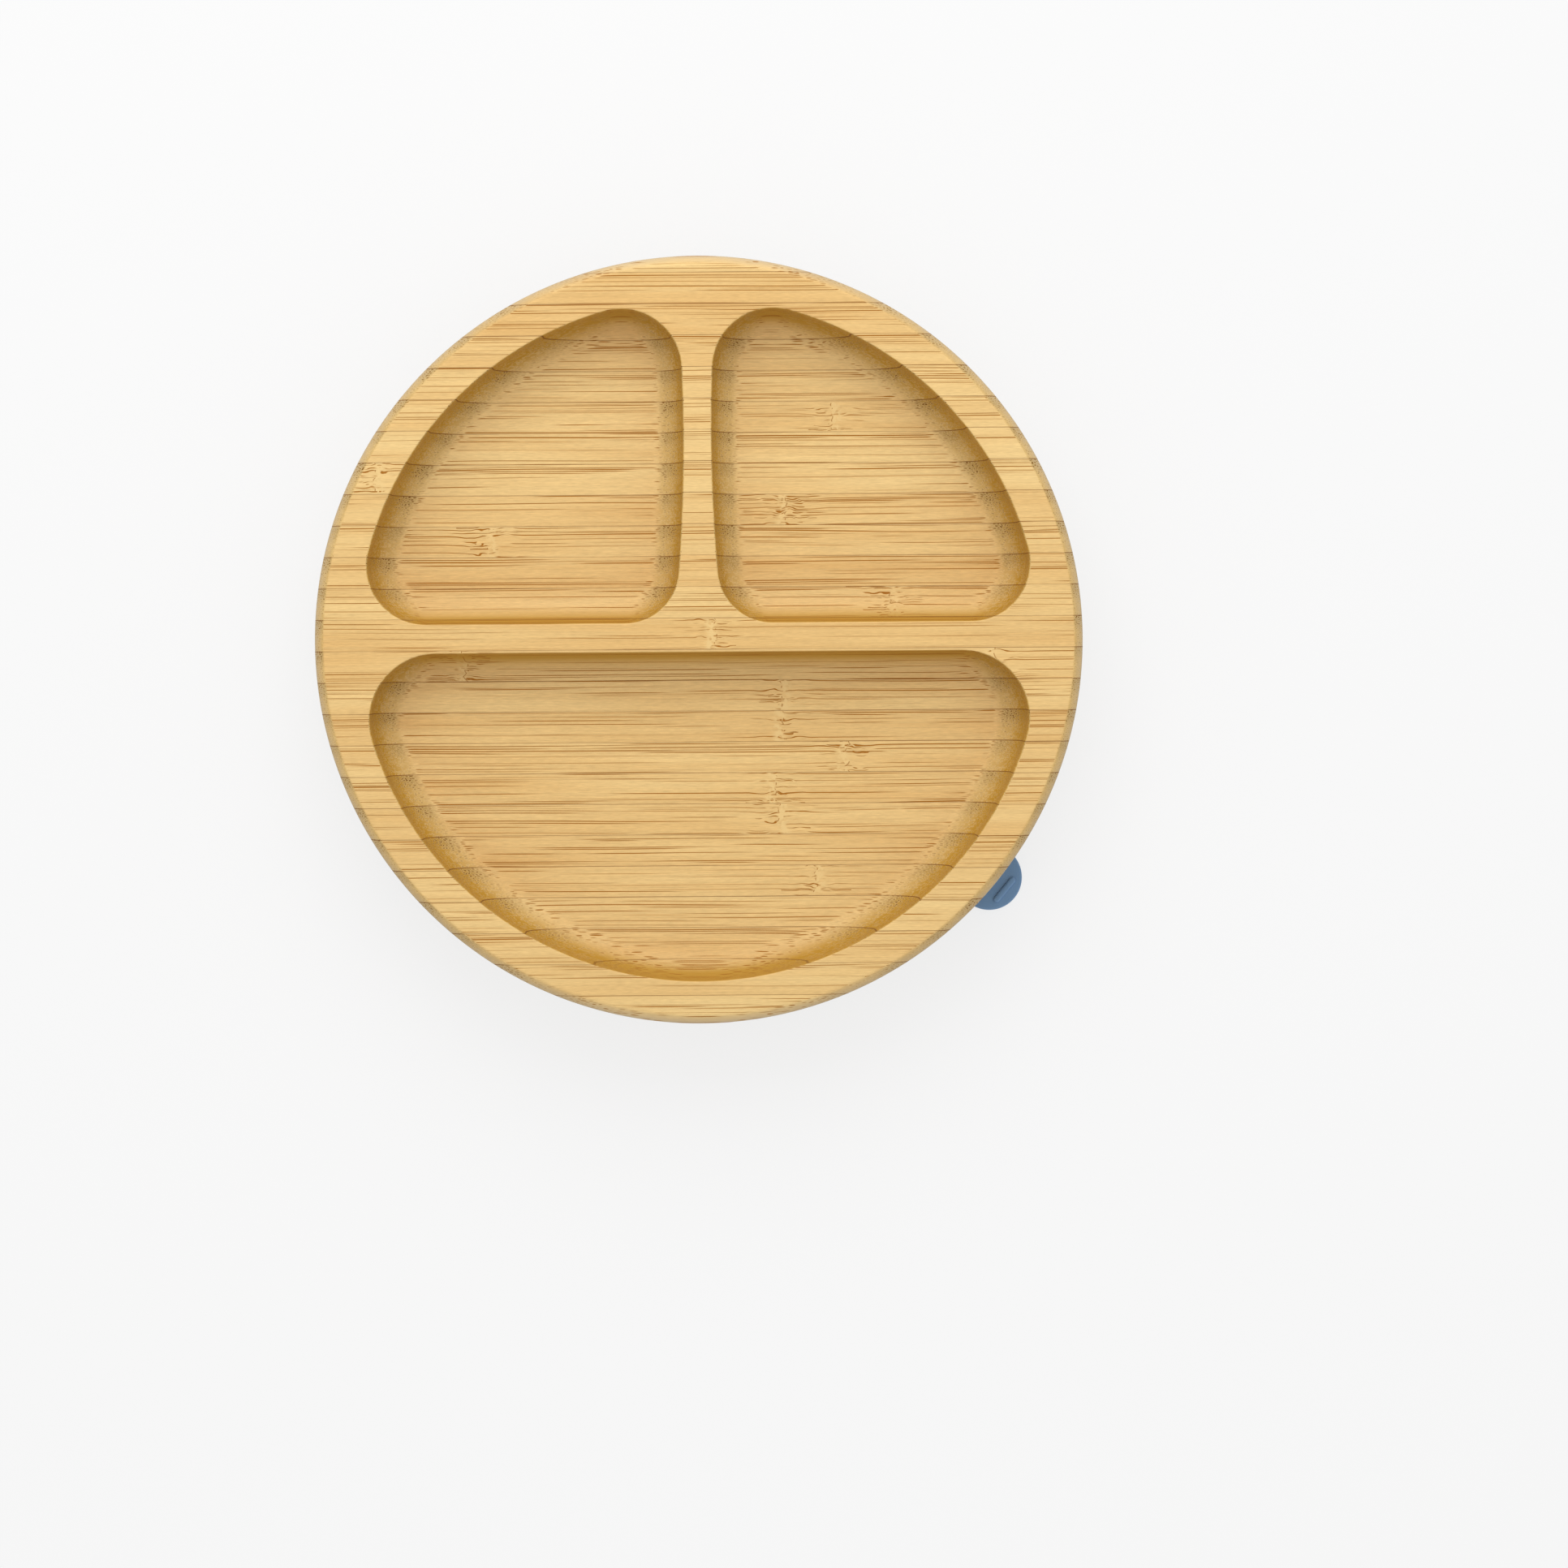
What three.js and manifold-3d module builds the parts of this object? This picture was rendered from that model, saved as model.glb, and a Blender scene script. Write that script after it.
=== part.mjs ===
// Baby suction plate: a round board, glued up from bamboo strips, with three routed pockets. A bamboo hub is pinned under
// it, and a silicone suction ring sits in the hub's groove. Millimetres, +Z up. The origin is on the plate's axis, on the
// table. +X runs along the bamboo strips, and +Y points from the wide pocket to the two small ones.

import * as THREE from 'three';
import { mergeVertices } from 'three/addons/utils/BufferGeometryUtils.js';
import Module from 'manifold-3d';

// Board and its strips
const PLATE_RADIUS = 90;
const BOARD_THICKNESS = 20;
const TOP_ROUND = 2.2;
const BOTTOM_ROUND = 3;
const STRIP_COUNT = 25;
const FRONT_STRIP_WIDTH = 6.85;
const BACK_STRIP_WIDTH = 4.1;
const GLUE_LINE = 0.1;

// Pockets
const RIM_WIDTH = 9.8;
const POCKET_DEPTH = 12;
const FLOOR_FILLET = 7.2;
const EDGE_BREAK = 0.4;
const CROSSBAR_BACK_Y = 3.6;
const CROSSBAR_WIDTH = 6.2;
const DIVIDER_WAIST = 6;
const DIVIDER_WAIST_Y = 48;
const DIVIDER_BOW_RADIUS = 400;
const BACK_CORNER_RADIUS = 14.5;
const INNER_CORNER_RADIUS = 13;
const OUTER_CORNER_RADIUS = 14;
const WIDE_CORNER_RADIUS = 16;

// Hub under the board, with the groove that holds the ring
const HUB_RADIUS = 45.5;
const HUB_LIP = 4;
const HUB_CLEARANCE = 4;
const GROOVE_HEIGHT = 6;
const GROOVE_DEPTH = 5;
const HUB_EDGE_BREAK = 0.5;

// Brads that pin the hub to the board
const BRAD_COUNT = 6;
const BRAD_EDGE_DISTANCE = 8.5;
const BRAD_START_DEG = 14;
const BRAD_RADIUS = 0.6;
const BRAD_HEAD_RADIUS = 0.85;
const BRAD_HEAD_HEIGHT = 0.6;
const BRAD_POINT = 1.6;
const BRAD_BITE = 5;
const BRAD_SET = 0.3;
const BRAD_GAP = 0.1;

// Silicone suction ring: collar, bell-shaped flange and pull tab
const RING_GAP = 0.3;
const HUB_EDGE_GAP = 0.7;
const COLLAR_WALL = 3;
const COLLAR_DROP = 3;
const COLLAR_CHAMFER = 0.8;
const LIP_RADIUS = 76;
const LIP_THICKNESS = 1.4;
const LIP_SEAT_WIDTH = 2;
const LIP_EDGE_BREAK = 0.5;
const BELL_DEPTH = 5.2;
const BELL_HEIGHT = 10;
const TAB_ANGLE_DEG = -39.7;
const TAB_TIP_RADIUS = 99.7;
const TAB_WIDTH = 16;
const TAB_THICKNESS = 2.2;
const TAB_LIFT = 0.5;
const TAB_ROOT_FLARE = 1.2;
const TAB_EDGE_BREAK = 0.4;
const RIB_LENGTH = 7.6;
const RIB_WIDTH = 1.6;
const RIB_HEIGHT = 0.7;
const RIB_FROM_TIP = 3.3;

// Facets
const CHORD_ERROR = 0.08;
const ROUND_STEPS = 3;
const FILLET_STEPS = 4;
const BOARD_SEGMENTS = 72;
const RING_SEGMENTS = 72;
const BRAD_SEGMENTS = 10;
const BELL_STEPS = 5;
const TAB_STEPS = 6;
const RIB_STEPS = 3;
const CUT_OVERSHOOT = 1;
const MERGE_DISTANCE = 1e-4;

// Levels and radii that follow from the sizes above
const HUB_TOP_OF_LIP = HUB_CLEARANCE + HUB_LIP;
const BOARD_BOTTOM = HUB_TOP_OF_LIP + GROOVE_HEIGHT;
const BOARD_TOP = BOARD_BOTTOM + BOARD_THICKNESS;
const POCKET_FLOOR = BOARD_TOP - POCKET_DEPTH;
const STRIP_PITCH = (2 * PLATE_RADIUS - FRONT_STRIP_WIDTH - BACK_STRIP_WIDTH) / (STRIP_COUNT - 2);
const POCKET_RADIUS = PLATE_RADIUS - RIM_WIDTH;
const CROSSBAR_FRONT_Y = CROSSBAR_BACK_Y - CROSSBAR_WIDTH;
const NECK_RADIUS = HUB_RADIUS - GROOVE_DEPTH;
const BRAD_CIRCLE_RADIUS = NECK_RADIUS - BRAD_EDGE_DISTANCE;
const COLLAR_INNER_RADIUS = HUB_RADIUS + HUB_EDGE_GAP;
const COLLAR_RADIUS = COLLAR_INNER_RADIUS + COLLAR_WALL;
const BELL_INNER_RADIUS = COLLAR_RADIUS + RING_GAP;

const BAMBOO_TONES = [0xdfb877, 0xe6c285, 0xd9ad69, 0xe2bb7a, 0xdcb36f];
const HUB_BAMBOO = new THREE.MeshStandardMaterial({ color: 0xcb9b4a, roughness: 0.6, metalness: 0 });
const SILICONE = new THREE.MeshStandardMaterial({ color: 0x678398, roughness: 0.55, metalness: 0 });
const STEEL = new THREE.MeshStandardMaterial({ color: 0x6b665f, roughness: 0.45, metalness: 1 });

const wasm = await Module();
wasm.setup();

// Solids and meshes

// Turns a closed geometry into a solid that can be cut and joined.
function solidOf(geometry) {
  const bare = geometry.clone();
  bare.deleteAttribute('normal');
  bare.deleteAttribute('uv');
  const merged = mergeVertices(bare, MERGE_DISTANCE);
  const triangles = [];
  for (let i = 0; i < merged.index.count; i += 3) {
    const [a, b, c] = [merged.index.getX(i), merged.index.getX(i + 1), merged.index.getX(i + 2)];
    if (a !== b && b !== c && c !== a) triangles.push(a, b, c);
  }
  const vertProperties = Float32Array.from(merged.attributes.position.array);
  return new wasm.Manifold(new wasm.Mesh({ numProp: 3, vertProperties, triVerts: Uint32Array.from(triangles) }));
}

function geometryOf(solid) {
  const { vertProperties, triVerts } = solid.getMesh();
  const geometry = new THREE.BufferGeometry();
  geometry.setAttribute('position', new THREE.BufferAttribute(new Float32Array(vertProperties), 3));
  geometry.setIndex(new THREE.BufferAttribute(new Uint32Array(triVerts), 1));
  geometry.computeVertexNormals();
  return geometry;
}

function piece(name, solid, material) {
  const mesh = new THREE.Mesh(geometryOf(solid), material);
  mesh.name = name;
  return mesh;
}

// Revolves a profile of [radius, height] pairs about the Z axis.
function revolve(profile, segments) {
  const geometry = new THREE.LatheGeometry(profile.map(([r, z]) => new THREE.Vector2(r, z)), segments);
  return solidOf(geometry.rotateX(Math.PI / 2));
}

// Points on a quarter round of a profile, from one angle to another, both included.
function roundedCorner(centreRadius, centreHeight, radius, fromDeg, toDeg) {
  const points = [];
  for (let i = 0; i <= ROUND_STEPS; i++) {
    const angle = THREE.MathUtils.degToRad(THREE.MathUtils.lerp(fromDeg, toDeg, i / ROUND_STEPS));
    points.push([centreRadius + radius * Math.cos(angle), centreHeight + radius * Math.sin(angle)]);
  }
  return points;
}

// Pocket outlines: convex chains of arcs. An arc keeps its centre when the outline is drawn inwards.

function arc(centre, radius, from, to) {
  const sweep = to < from ? to - from + 2 * Math.PI : to - from;
  const step = 2 * Math.acos(1 - CHORD_ERROR / radius);
  return { centre, radius, from, sweep, steps: Math.max(2, Math.ceil(sweep / step)) };
}

function angleBetween(from, to) {
  return Math.atan2(to.y - from.y, to.x - from.x);
}

// The centre of a corner that lies inside the pocket circle and touches a straight edge at a height of edgeY.
function cornerOnEdge(radius, edgeY, side) {
  const y = edgeY + side * radius;
  return new THREE.Vector2(Math.sqrt((POCKET_RADIUS - radius) ** 2 - y ** 2), y);
}

// The small pocket on the +X side of the divider, counter-clockwise from the crossbar's outer end.
function smallPocketArcs() {
  const plateAxis = new THREE.Vector2(0, 0);
  const bow = new THREE.Vector2(DIVIDER_WAIST / 2 + DIVIDER_BOW_RADIUS, DIVIDER_WAIST_Y);
  const outer = cornerOnEdge(OUTER_CORNER_RADIUS, CROSSBAR_BACK_Y, 1);

  // The inner corner touches the crossbar and the bowed divider.
  const innerY = CROSSBAR_BACK_Y + INNER_CORNER_RADIUS;
  const innerReach = DIVIDER_BOW_RADIUS - INNER_CORNER_RADIUS;
  const inner = new THREE.Vector2(bow.x - Math.sqrt(innerReach ** 2 - (innerY - bow.y) ** 2), innerY);

  // The back corner touches the pocket circle and the bowed divider.
  const rimReach = POCKET_RADIUS - BACK_CORNER_RADIUS;
  const bowReach = DIVIDER_BOW_RADIUS - BACK_CORNER_RADIUS;
  const span = bow.length();
  const along = (rimReach ** 2 - bowReach ** 2 + span ** 2) / (2 * span);
  const across = Math.sqrt(rimReach ** 2 - along ** 2);
  const toBow = bow.clone().normalize();
  const back = new THREE.Vector2(toBow.x * along - toBow.y * across, toBow.y * along + toBow.x * across);

  const outerAngle = angleBetween(plateAxis, outer);
  const backAngle = angleBetween(plateAxis, back);
  const bowBackAngle = angleBetween(bow, back);
  const bowInnerAngle = angleBetween(bow, inner);
  return [
    arc(outer, OUTER_CORNER_RADIUS, -Math.PI / 2, outerAngle),
    arc(plateAxis, POCKET_RADIUS, outerAngle, backAngle),
    arc(back, BACK_CORNER_RADIUS, backAngle, bowBackAngle),
    arc(bow, DIVIDER_BOW_RADIUS, bowBackAngle, bowInnerAngle),
    arc(inner, INNER_CORNER_RADIUS, bowInnerAngle, -Math.PI / 2),
  ];
}

// The wide pocket in front of the crossbar, counter-clockwise from its right corner.
function widePocketArcs() {
  const plateAxis = new THREE.Vector2(0, 0);
  const right = cornerOnEdge(WIDE_CORNER_RADIUS, CROSSBAR_FRONT_Y, -1);
  const left = new THREE.Vector2(-right.x, right.y);
  const rightAngle = angleBetween(plateAxis, right);
  const leftAngle = angleBetween(plateAxis, left);
  return [
    arc(right, WIDE_CORNER_RADIUS, rightAngle, Math.PI / 2),
    arc(left, WIDE_CORNER_RADIUS, Math.PI / 2, leftAngle),
    arc(plateAxis, POCKET_RADIUS, leftAngle, rightAngle),
  ];
}

// Drops each point of a closed outline that repeats the one before it, as where two arcs meet.
function withoutDoubles(points) {
  return points.filter((point, i) => point.distanceTo(points.at(i - 1)) > CHORD_ERROR);
}

// One level of an outline, drawn in by inset.
function outlineAt(arcs, inset) {
  const points = [];
  for (const { centre, radius, from, sweep, steps } of arcs) {
    for (let i = 0; i <= steps; i++) {
      const angle = from + (sweep * i) / steps;
      points.push(new THREE.Vector2(Math.cos(angle), Math.sin(angle)).multiplyScalar(radius - inset).add(centre));
    }
  }
  return withoutDoubles(points);
}

// The router's cut, as [height, inset] from the floor up: floor fillet, upright wall and broken top edge.
function pocketLevels() {
  const levels = [];
  for (let i = 0; i <= FILLET_STEPS; i++) {
    const angle = ((Math.PI / 2) * i) / FILLET_STEPS;
    const height = POCKET_FLOOR + FLOOR_FILLET * (1 - Math.cos(angle));
    levels.push([height, EDGE_BREAK + FLOOR_FILLET * (1 - Math.sin(angle))]);
  }
  levels.push([BOARD_TOP - EDGE_BREAK, EDGE_BREAK]);
  levels.push([BOARD_TOP, 0]);
  levels.push([BOARD_TOP + CUT_OVERSHOOT, 0]);
  return levels;
}

// Lofts a convex outline through the levels and closes both ends.
function pocketCutter(arcs) {
  const levels = pocketLevels();
  const rings = levels.map(([, inset]) => outlineAt(arcs, inset));
  const count = rings[0].length;
  const positions = rings.flatMap((ring, level) => ring.flatMap((p) => [p.x, p.y, levels[level][0]]));
  const index = [];
  for (let level = 0; level + 1 < rings.length; level++) {
    for (let i = 0; i < count; i++) {
      const a = level * count + i;
      const b = level * count + ((i + 1) % count);
      index.push(a, b, b + count, a, b + count, a + count);
    }
  }
  const top = (rings.length - 1) * count;
  for (let i = 1; i + 1 < count; i++) {
    index.push(0, i + 1, i);
    index.push(top, top + i, top + i + 1);
  }
  const geometry = new THREE.BufferGeometry();
  geometry.setAttribute('position', new THREE.Float32BufferAttribute(positions, 3));
  geometry.setIndex(index);
  return solidOf(geometry);
}

// Brads, and the holes that they sit in, which are the same shape with a gap all round

function bradProfile(gap, mouth) {
  const head = HUB_CLEARANCE + BRAD_SET + BRAD_HEAD_HEIGHT;
  const neck = head + (BRAD_HEAD_RADIUS - BRAD_RADIUS);
  const tip = BOARD_BOTTOM + BRAD_BITE;
  return [
    [0, mouth],
    [BRAD_HEAD_RADIUS + gap, mouth],
    [BRAD_HEAD_RADIUS + gap, head + gap],
    [BRAD_RADIUS + gap, neck + gap],
    [BRAD_RADIUS + gap, tip - BRAD_POINT + gap],
    [0, tip + gap],
  ];
}

function bradCircle(profile) {
  const brad = revolve(profile, BRAD_SEGMENTS);
  return Array.from({ length: BRAD_COUNT }, (_, i) => {
    const angle = THREE.MathUtils.degToRad(BRAD_START_DEG + (360 / BRAD_COUNT) * i);
    return brad.translate([BRAD_CIRCLE_RADIUS * Math.cos(angle), BRAD_CIRCLE_RADIUS * Math.sin(angle), 0]);
  });
}

function drillBradHoles(solid) {
  const holes = bradCircle(bradProfile(BRAD_GAP, HUB_CLEARANCE - CUT_OVERSHOOT));
  return holes.reduce((body, hole) => body.subtract(hole), solid);
}

// Board: turned blank, three pockets, brad holes, and the glue lines that part it into strips

function turnedBlank() {
  return revolve([
    [0, BOARD_BOTTOM],
    ...roundedCorner(PLATE_RADIUS - BOTTOM_ROUND, BOARD_BOTTOM + BOTTOM_ROUND, BOTTOM_ROUND, -90, 0),
    ...roundedCorner(PLATE_RADIUS - TOP_ROUND, BOARD_TOP - TOP_ROUND, TOP_ROUND, 0, 90),
    [0, BOARD_TOP],
  ], BOARD_SEGMENTS);
}

function routedBoard() {
  const right = pocketCutter(smallPocketArcs());
  const pockets = [right, right.mirror([1, 0, 0]), pocketCutter(widePocketArcs())];
  return drillBradHoles(pockets.reduce((board, pocket) => board.subtract(pocket), turnedBlank()));
}

// Glue lines from front to back. Strips of one width lie between a front and a back edge strip of their own widths.
function seamHeights() {
  const frontSeam = FRONT_STRIP_WIDTH - PLATE_RADIUS;
  return Array.from({ length: STRIP_COUNT - 1 }, (_, i) => frontSeam + STRIP_PITCH * i);
}

function bambooStrips() {
  const board = routedBoard();
  const seams = seamHeights();
  const fronts = [-PLATE_RADIUS - CUT_OVERSHOOT, ...seams.map((y) => y + GLUE_LINE / 2)];
  const backs = [...seams.map((y) => y - GLUE_LINE / 2), PLATE_RADIUS + CUT_OVERSHOOT];
  const length = 2 * (PLATE_RADIUS + CUT_OVERSHOOT);
  const height = BOARD_THICKNESS + 2 * CUT_OVERSHOOT;
  return fronts.map((front, i) => {
    const slab = new THREE.BoxGeometry(length, backs[i] - front, height);
    slab.translate(0, (front + backs[i]) / 2, BOARD_BOTTOM + BOARD_THICKNESS / 2);
    const tone = BAMBOO_TONES[i % BAMBOO_TONES.length];
    const bamboo = new THREE.MeshStandardMaterial({ color: tone, roughness: 0.6, metalness: 0 });
    return piece(`bamboo_strip_${String(i + 1).padStart(2, '0')}`, board.intersect(solidOf(slab)), bamboo);
  });
}

// Hub and brads

function baseHub() {
  const hub = revolve([
    [0, HUB_CLEARANCE],
    [HUB_RADIUS - HUB_EDGE_BREAK, HUB_CLEARANCE],
    [HUB_RADIUS, HUB_CLEARANCE + HUB_EDGE_BREAK],
    [HUB_RADIUS, HUB_TOP_OF_LIP],
    [NECK_RADIUS, HUB_TOP_OF_LIP],
    [NECK_RADIUS, BOARD_BOTTOM],
    [0, BOARD_BOTTOM],
  ], RING_SEGMENTS);
  return piece('base_hub', drillBradHoles(hub), HUB_BAMBOO);
}

function brads() {
  const solids = bradCircle(bradProfile(0, HUB_CLEARANCE + BRAD_SET));
  return solids.map((solid, i) => piece(`brad_${i + 1}`, solid, STEEL));
}

// Suction ring

// The collar: a bead in the hub's groove, and a skirt round the hub's edge.
function ringCollar() {
  const beadBottom = HUB_TOP_OF_LIP + RING_GAP;
  const beadTop = BOARD_BOTTOM - RING_GAP;
  const skirtBottom = beadBottom - COLLAR_DROP;
  const profile = [
    [NECK_RADIUS + RING_GAP, beadBottom],
    [COLLAR_INNER_RADIUS, beadBottom],
    [COLLAR_INNER_RADIUS, skirtBottom],
    [COLLAR_RADIUS, skirtBottom],
    [COLLAR_RADIUS, beadTop - COLLAR_CHAMFER],
    [COLLAR_RADIUS - COLLAR_CHAMFER, beadTop],
    [NECK_RADIUS + RING_GAP, beadTop],
    [NECK_RADIUS + RING_GAP, beadBottom],
  ];
  return piece('ring_collar', revolve(profile, RING_SEGMENTS), SILICONE);
}

// The flange: a bell that thins out to a flat lip, with a curve above it and one below.
function suctionFlange() {
  const seatRadius = LIP_RADIUS - LIP_EDGE_BREAK - LIP_SEAT_WIDTH;
  const under = new THREE.QuadraticBezierCurve(
    new THREE.Vector2(BELL_INNER_RADIUS, BELL_DEPTH),
    new THREE.Vector2((BELL_INNER_RADIUS + seatRadius) / 2, BELL_DEPTH),
    new THREE.Vector2(seatRadius, 0),
  );
  const over = new THREE.QuadraticBezierCurve(
    new THREE.Vector2(LIP_RADIUS, LIP_THICKNESS),
    new THREE.Vector2((BELL_INNER_RADIUS + LIP_RADIUS) / 2, BELL_HEIGHT - LIP_THICKNESS),
    new THREE.Vector2(BELL_INNER_RADIUS, BELL_HEIGHT),
  );
  const profile = [
    ...under.getPoints(BELL_STEPS),
    new THREE.Vector2(LIP_RADIUS - LIP_EDGE_BREAK, 0),
    new THREE.Vector2(LIP_RADIUS, LIP_EDGE_BREAK),
    ...over.getPoints(BELL_STEPS),
    new THREE.Vector2(BELL_INNER_RADIUS, BELL_DEPTH),
  ];
  return piece('suction_flange', revolve(profile.map((p) => [p.x, p.y]), RING_SEGMENTS), SILICONE);
}

// The tab's plan, drawn along +X: its root follows the lip, its sides flare into the root, and its end is round.
function tabOutline() {
  const rootRadius = LIP_RADIUS + RING_GAP;
  const half = TAB_WIDTH / 2;
  const rootAngle = Math.asin((half + TAB_ROOT_FLARE) / rootRadius);
  const flareX = rootRadius * Math.cos(rootAngle) + TAB_ROOT_FLARE;
  const endX = TAB_TIP_RADIUS - half;
  const outline = new THREE.Shape();
  outline.absarc(0, 0, rootRadius, rootAngle, -rootAngle, true);
  outline.lineTo(flareX, -half);
  outline.absarc(endX, 0, half, -Math.PI / 2, Math.PI / 2, false);
  outline.lineTo(flareX, half);
  return new THREE.Shape(withoutDoubles(outline.getPoints(TAB_STEPS)));
}

// The grip rib's plan: a bar with round ends across the tab.
function ribOutline() {
  const middleX = TAB_TIP_RADIUS - RIB_FROM_TIP;
  const reach = (RIB_LENGTH - RIB_WIDTH) / 2;
  const outline = new THREE.Shape();
  outline.absarc(middleX, reach, RIB_WIDTH / 2, 0, Math.PI, false);
  outline.absarc(middleX, -reach, RIB_WIDTH / 2, Math.PI, 2 * Math.PI, false);
  return new THREE.Shape(withoutDoubles(outline.getPoints(RIB_STEPS)));
}

function pullTab() {
  const blade = new THREE.ExtrudeGeometry(tabOutline(), {
    depth: TAB_THICKNESS - 2 * TAB_EDGE_BREAK,
    bevelThickness: TAB_EDGE_BREAK,
    bevelSize: TAB_EDGE_BREAK,
    bevelOffset: -TAB_EDGE_BREAK,
    bevelSegments: 1,
  });
  blade.translate(0, 0, TAB_LIFT + TAB_EDGE_BREAK);
  const rib = new THREE.ExtrudeGeometry(ribOutline(), {
    depth: RIB_HEIGHT + TAB_EDGE_BREAK,
    bevelEnabled: false,
  });
  rib.translate(0, 0, TAB_LIFT + TAB_THICKNESS - TAB_EDGE_BREAK);
  const tab = piece('pull_tab', solidOf(blade).add(solidOf(rib)), SILICONE);
  tab.rotation.z = THREE.MathUtils.degToRad(TAB_ANGLE_DEG);
  return tab;
}

// Assembly

const plate = new THREE.Group();
plate.add(...bambooStrips(), baseHub(), ...brads());

const suctionRing = new THREE.Group();
suctionRing.add(ringCollar(), suctionFlange(), pullTab());

const suctionPlate = new THREE.Group();
suctionPlate.add(plate, suctionRing);

export default suctionPlate;
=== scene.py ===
"""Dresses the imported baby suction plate: a round bamboo board with three routed pockets, on a suction ring.

The frame gives every place. The board, the hub, the ring and the tab are modelled again as smooth meshes
over their CAD nodes, and the steel brads keep their nodes. Lengths are metres where no docstring says
millimetres, and colours are written as they look on a screen.
"""

import logging
import math
from collections.abc import Callable, Mapping, Sequence
from dataclasses import dataclass, fields
from enum import Enum
from typing import Any

import bmesh
import bpy
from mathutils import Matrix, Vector

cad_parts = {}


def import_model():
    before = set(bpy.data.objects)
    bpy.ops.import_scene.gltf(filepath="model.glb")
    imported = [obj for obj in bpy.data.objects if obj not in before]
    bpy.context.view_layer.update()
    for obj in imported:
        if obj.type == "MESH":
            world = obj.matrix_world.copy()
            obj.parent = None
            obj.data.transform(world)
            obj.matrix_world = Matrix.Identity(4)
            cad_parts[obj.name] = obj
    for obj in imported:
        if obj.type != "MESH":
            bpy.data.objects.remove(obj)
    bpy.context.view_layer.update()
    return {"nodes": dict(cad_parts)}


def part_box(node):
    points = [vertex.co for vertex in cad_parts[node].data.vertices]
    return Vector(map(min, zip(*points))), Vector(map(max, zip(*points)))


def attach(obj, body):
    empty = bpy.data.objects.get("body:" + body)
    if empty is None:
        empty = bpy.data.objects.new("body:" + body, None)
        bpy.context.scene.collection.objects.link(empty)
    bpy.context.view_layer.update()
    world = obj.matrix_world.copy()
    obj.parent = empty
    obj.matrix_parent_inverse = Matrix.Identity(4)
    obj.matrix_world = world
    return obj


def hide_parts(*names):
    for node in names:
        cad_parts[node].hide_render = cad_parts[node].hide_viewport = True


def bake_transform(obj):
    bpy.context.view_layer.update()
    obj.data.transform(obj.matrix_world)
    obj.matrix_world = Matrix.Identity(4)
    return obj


LOG = logging.getLogger("suction_plate")

MM = 0.001
FULL_TURN = 2 * math.pi
QUARTER_TURN = math.pi / 2
TOUCHING = 0.001 * MM
MEETING = 0.03 * MM
SMOOTH_ANGLE = math.radians(35)
FULL_ROUND = 0.5

Colour = tuple[float, float, float, float]
Point = tuple[float, float]
Socket = bpy.types.NodeSocket
Piece = bpy.types.Object
Element = bmesh.types.BMEdge | bmesh.types.BMFace


class Body(Enum):
    """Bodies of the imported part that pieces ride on."""

    PLATE = "plate"
    RING = "suction_ring"
    COLLAR = "ring_collar"
    TAB = "pull_tab"


class Slot(Enum):
    """Material slots of the record."""

    BOARD = "board_bamboo"
    HUB = "hub_bamboo"
    SILICONE = "silicone"


class SocketKind(Enum):
    """Kinds of socket on a shader node group."""

    VALUE = "NodeSocketFloat"
    COLOUR = "NodeSocketColor"
    VECTOR = "NodeSocketVector"


class SelectMode(Enum):
    """What is selected in edit mode."""

    POINT = "VERT"
    EDGE = "EDGE"
    FACE = "FACE"


class Combining(Enum):
    """What a tool does to a piece."""

    CUT_OUT = "DIFFERENCE"
    JOIN_ON = "UNION"


class Plane(Enum):
    """Planes that an outline is drawn in, by the axis that an arc in them turns about."""

    PLAN = (0.0, 0.0, 1.0)
    SECTION = (0.0, -1.0, 0.0)

    def place(self, point: Point) -> Vector:
        """Returns the 3-D place of a point of this plane."""
        across, along = point
        return Vector((across, along, 0.0)) if self is Plane.PLAN else Vector((across, 0.0, along))


def screen_colour(red: int, green: int, blue: int) -> Colour:
    """Turns a colour as it looks on a screen into the linear colour that shaders use.

    Args:
        red: Red, 0 to 255.
        green: Green, 0 to 255.
        blue: Blue, 0 to 255.

    Returns:
        The linear colour with an alpha of 1.
    """
    linear = []
    for channel in (red, green, blue):
        share = channel / 255
        linear.append(share / 12.92 if share <= 0.04045 else ((share + 0.055) / 1.055) ** 2.4)
    return (linear[0], linear[1], linear[2], 1.0)


# Modelling


def add_piece(name: str, add: Callable[..., Any], **sizes: Any) -> Piece:
    """Adds a primitive with nothing else selected, and puts its place into its mesh.

    Args:
        name: Name of the new piece.
        add: Operator that adds the primitive.
        **sizes: The operator's sizes and place.

    Returns:
        The new piece.
    """
    bpy.ops.object.select_all(action="DESELECT")
    add(**sizes)
    piece = bpy.context.object
    piece.name = name
    piece.data.name = name
    bpy.ops.object.transform_apply(location=True, rotation=True, scale=True)
    return piece


def add_disc(
    name: str, radius: float, low: float, high: float, segments: int, centre: Point = (0.0, 0.0)
) -> Piece:
    """Adds a plain disc.

    Args:
        name: Name of the disc.
        radius: Its radius.
        low: Height of its bottom.
        high: Height of its top.
        segments: Segments round it.
        centre: Where its axis stands.

    Returns:
        The disc.
    """
    return add_piece(
        name,
        bpy.ops.mesh.primitive_cylinder_add,
        vertices=segments,
        radius=radius,
        depth=high - low,
        location=(*centre, (high + low) / 2),
    )


def activate(piece: Piece) -> None:
    """Makes one piece the only selected and the active one.

    Args:
        piece: The piece.
    """
    bpy.ops.object.select_all(action="DESELECT")
    piece.select_set(True)
    bpy.context.view_layer.objects.active = piece


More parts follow.
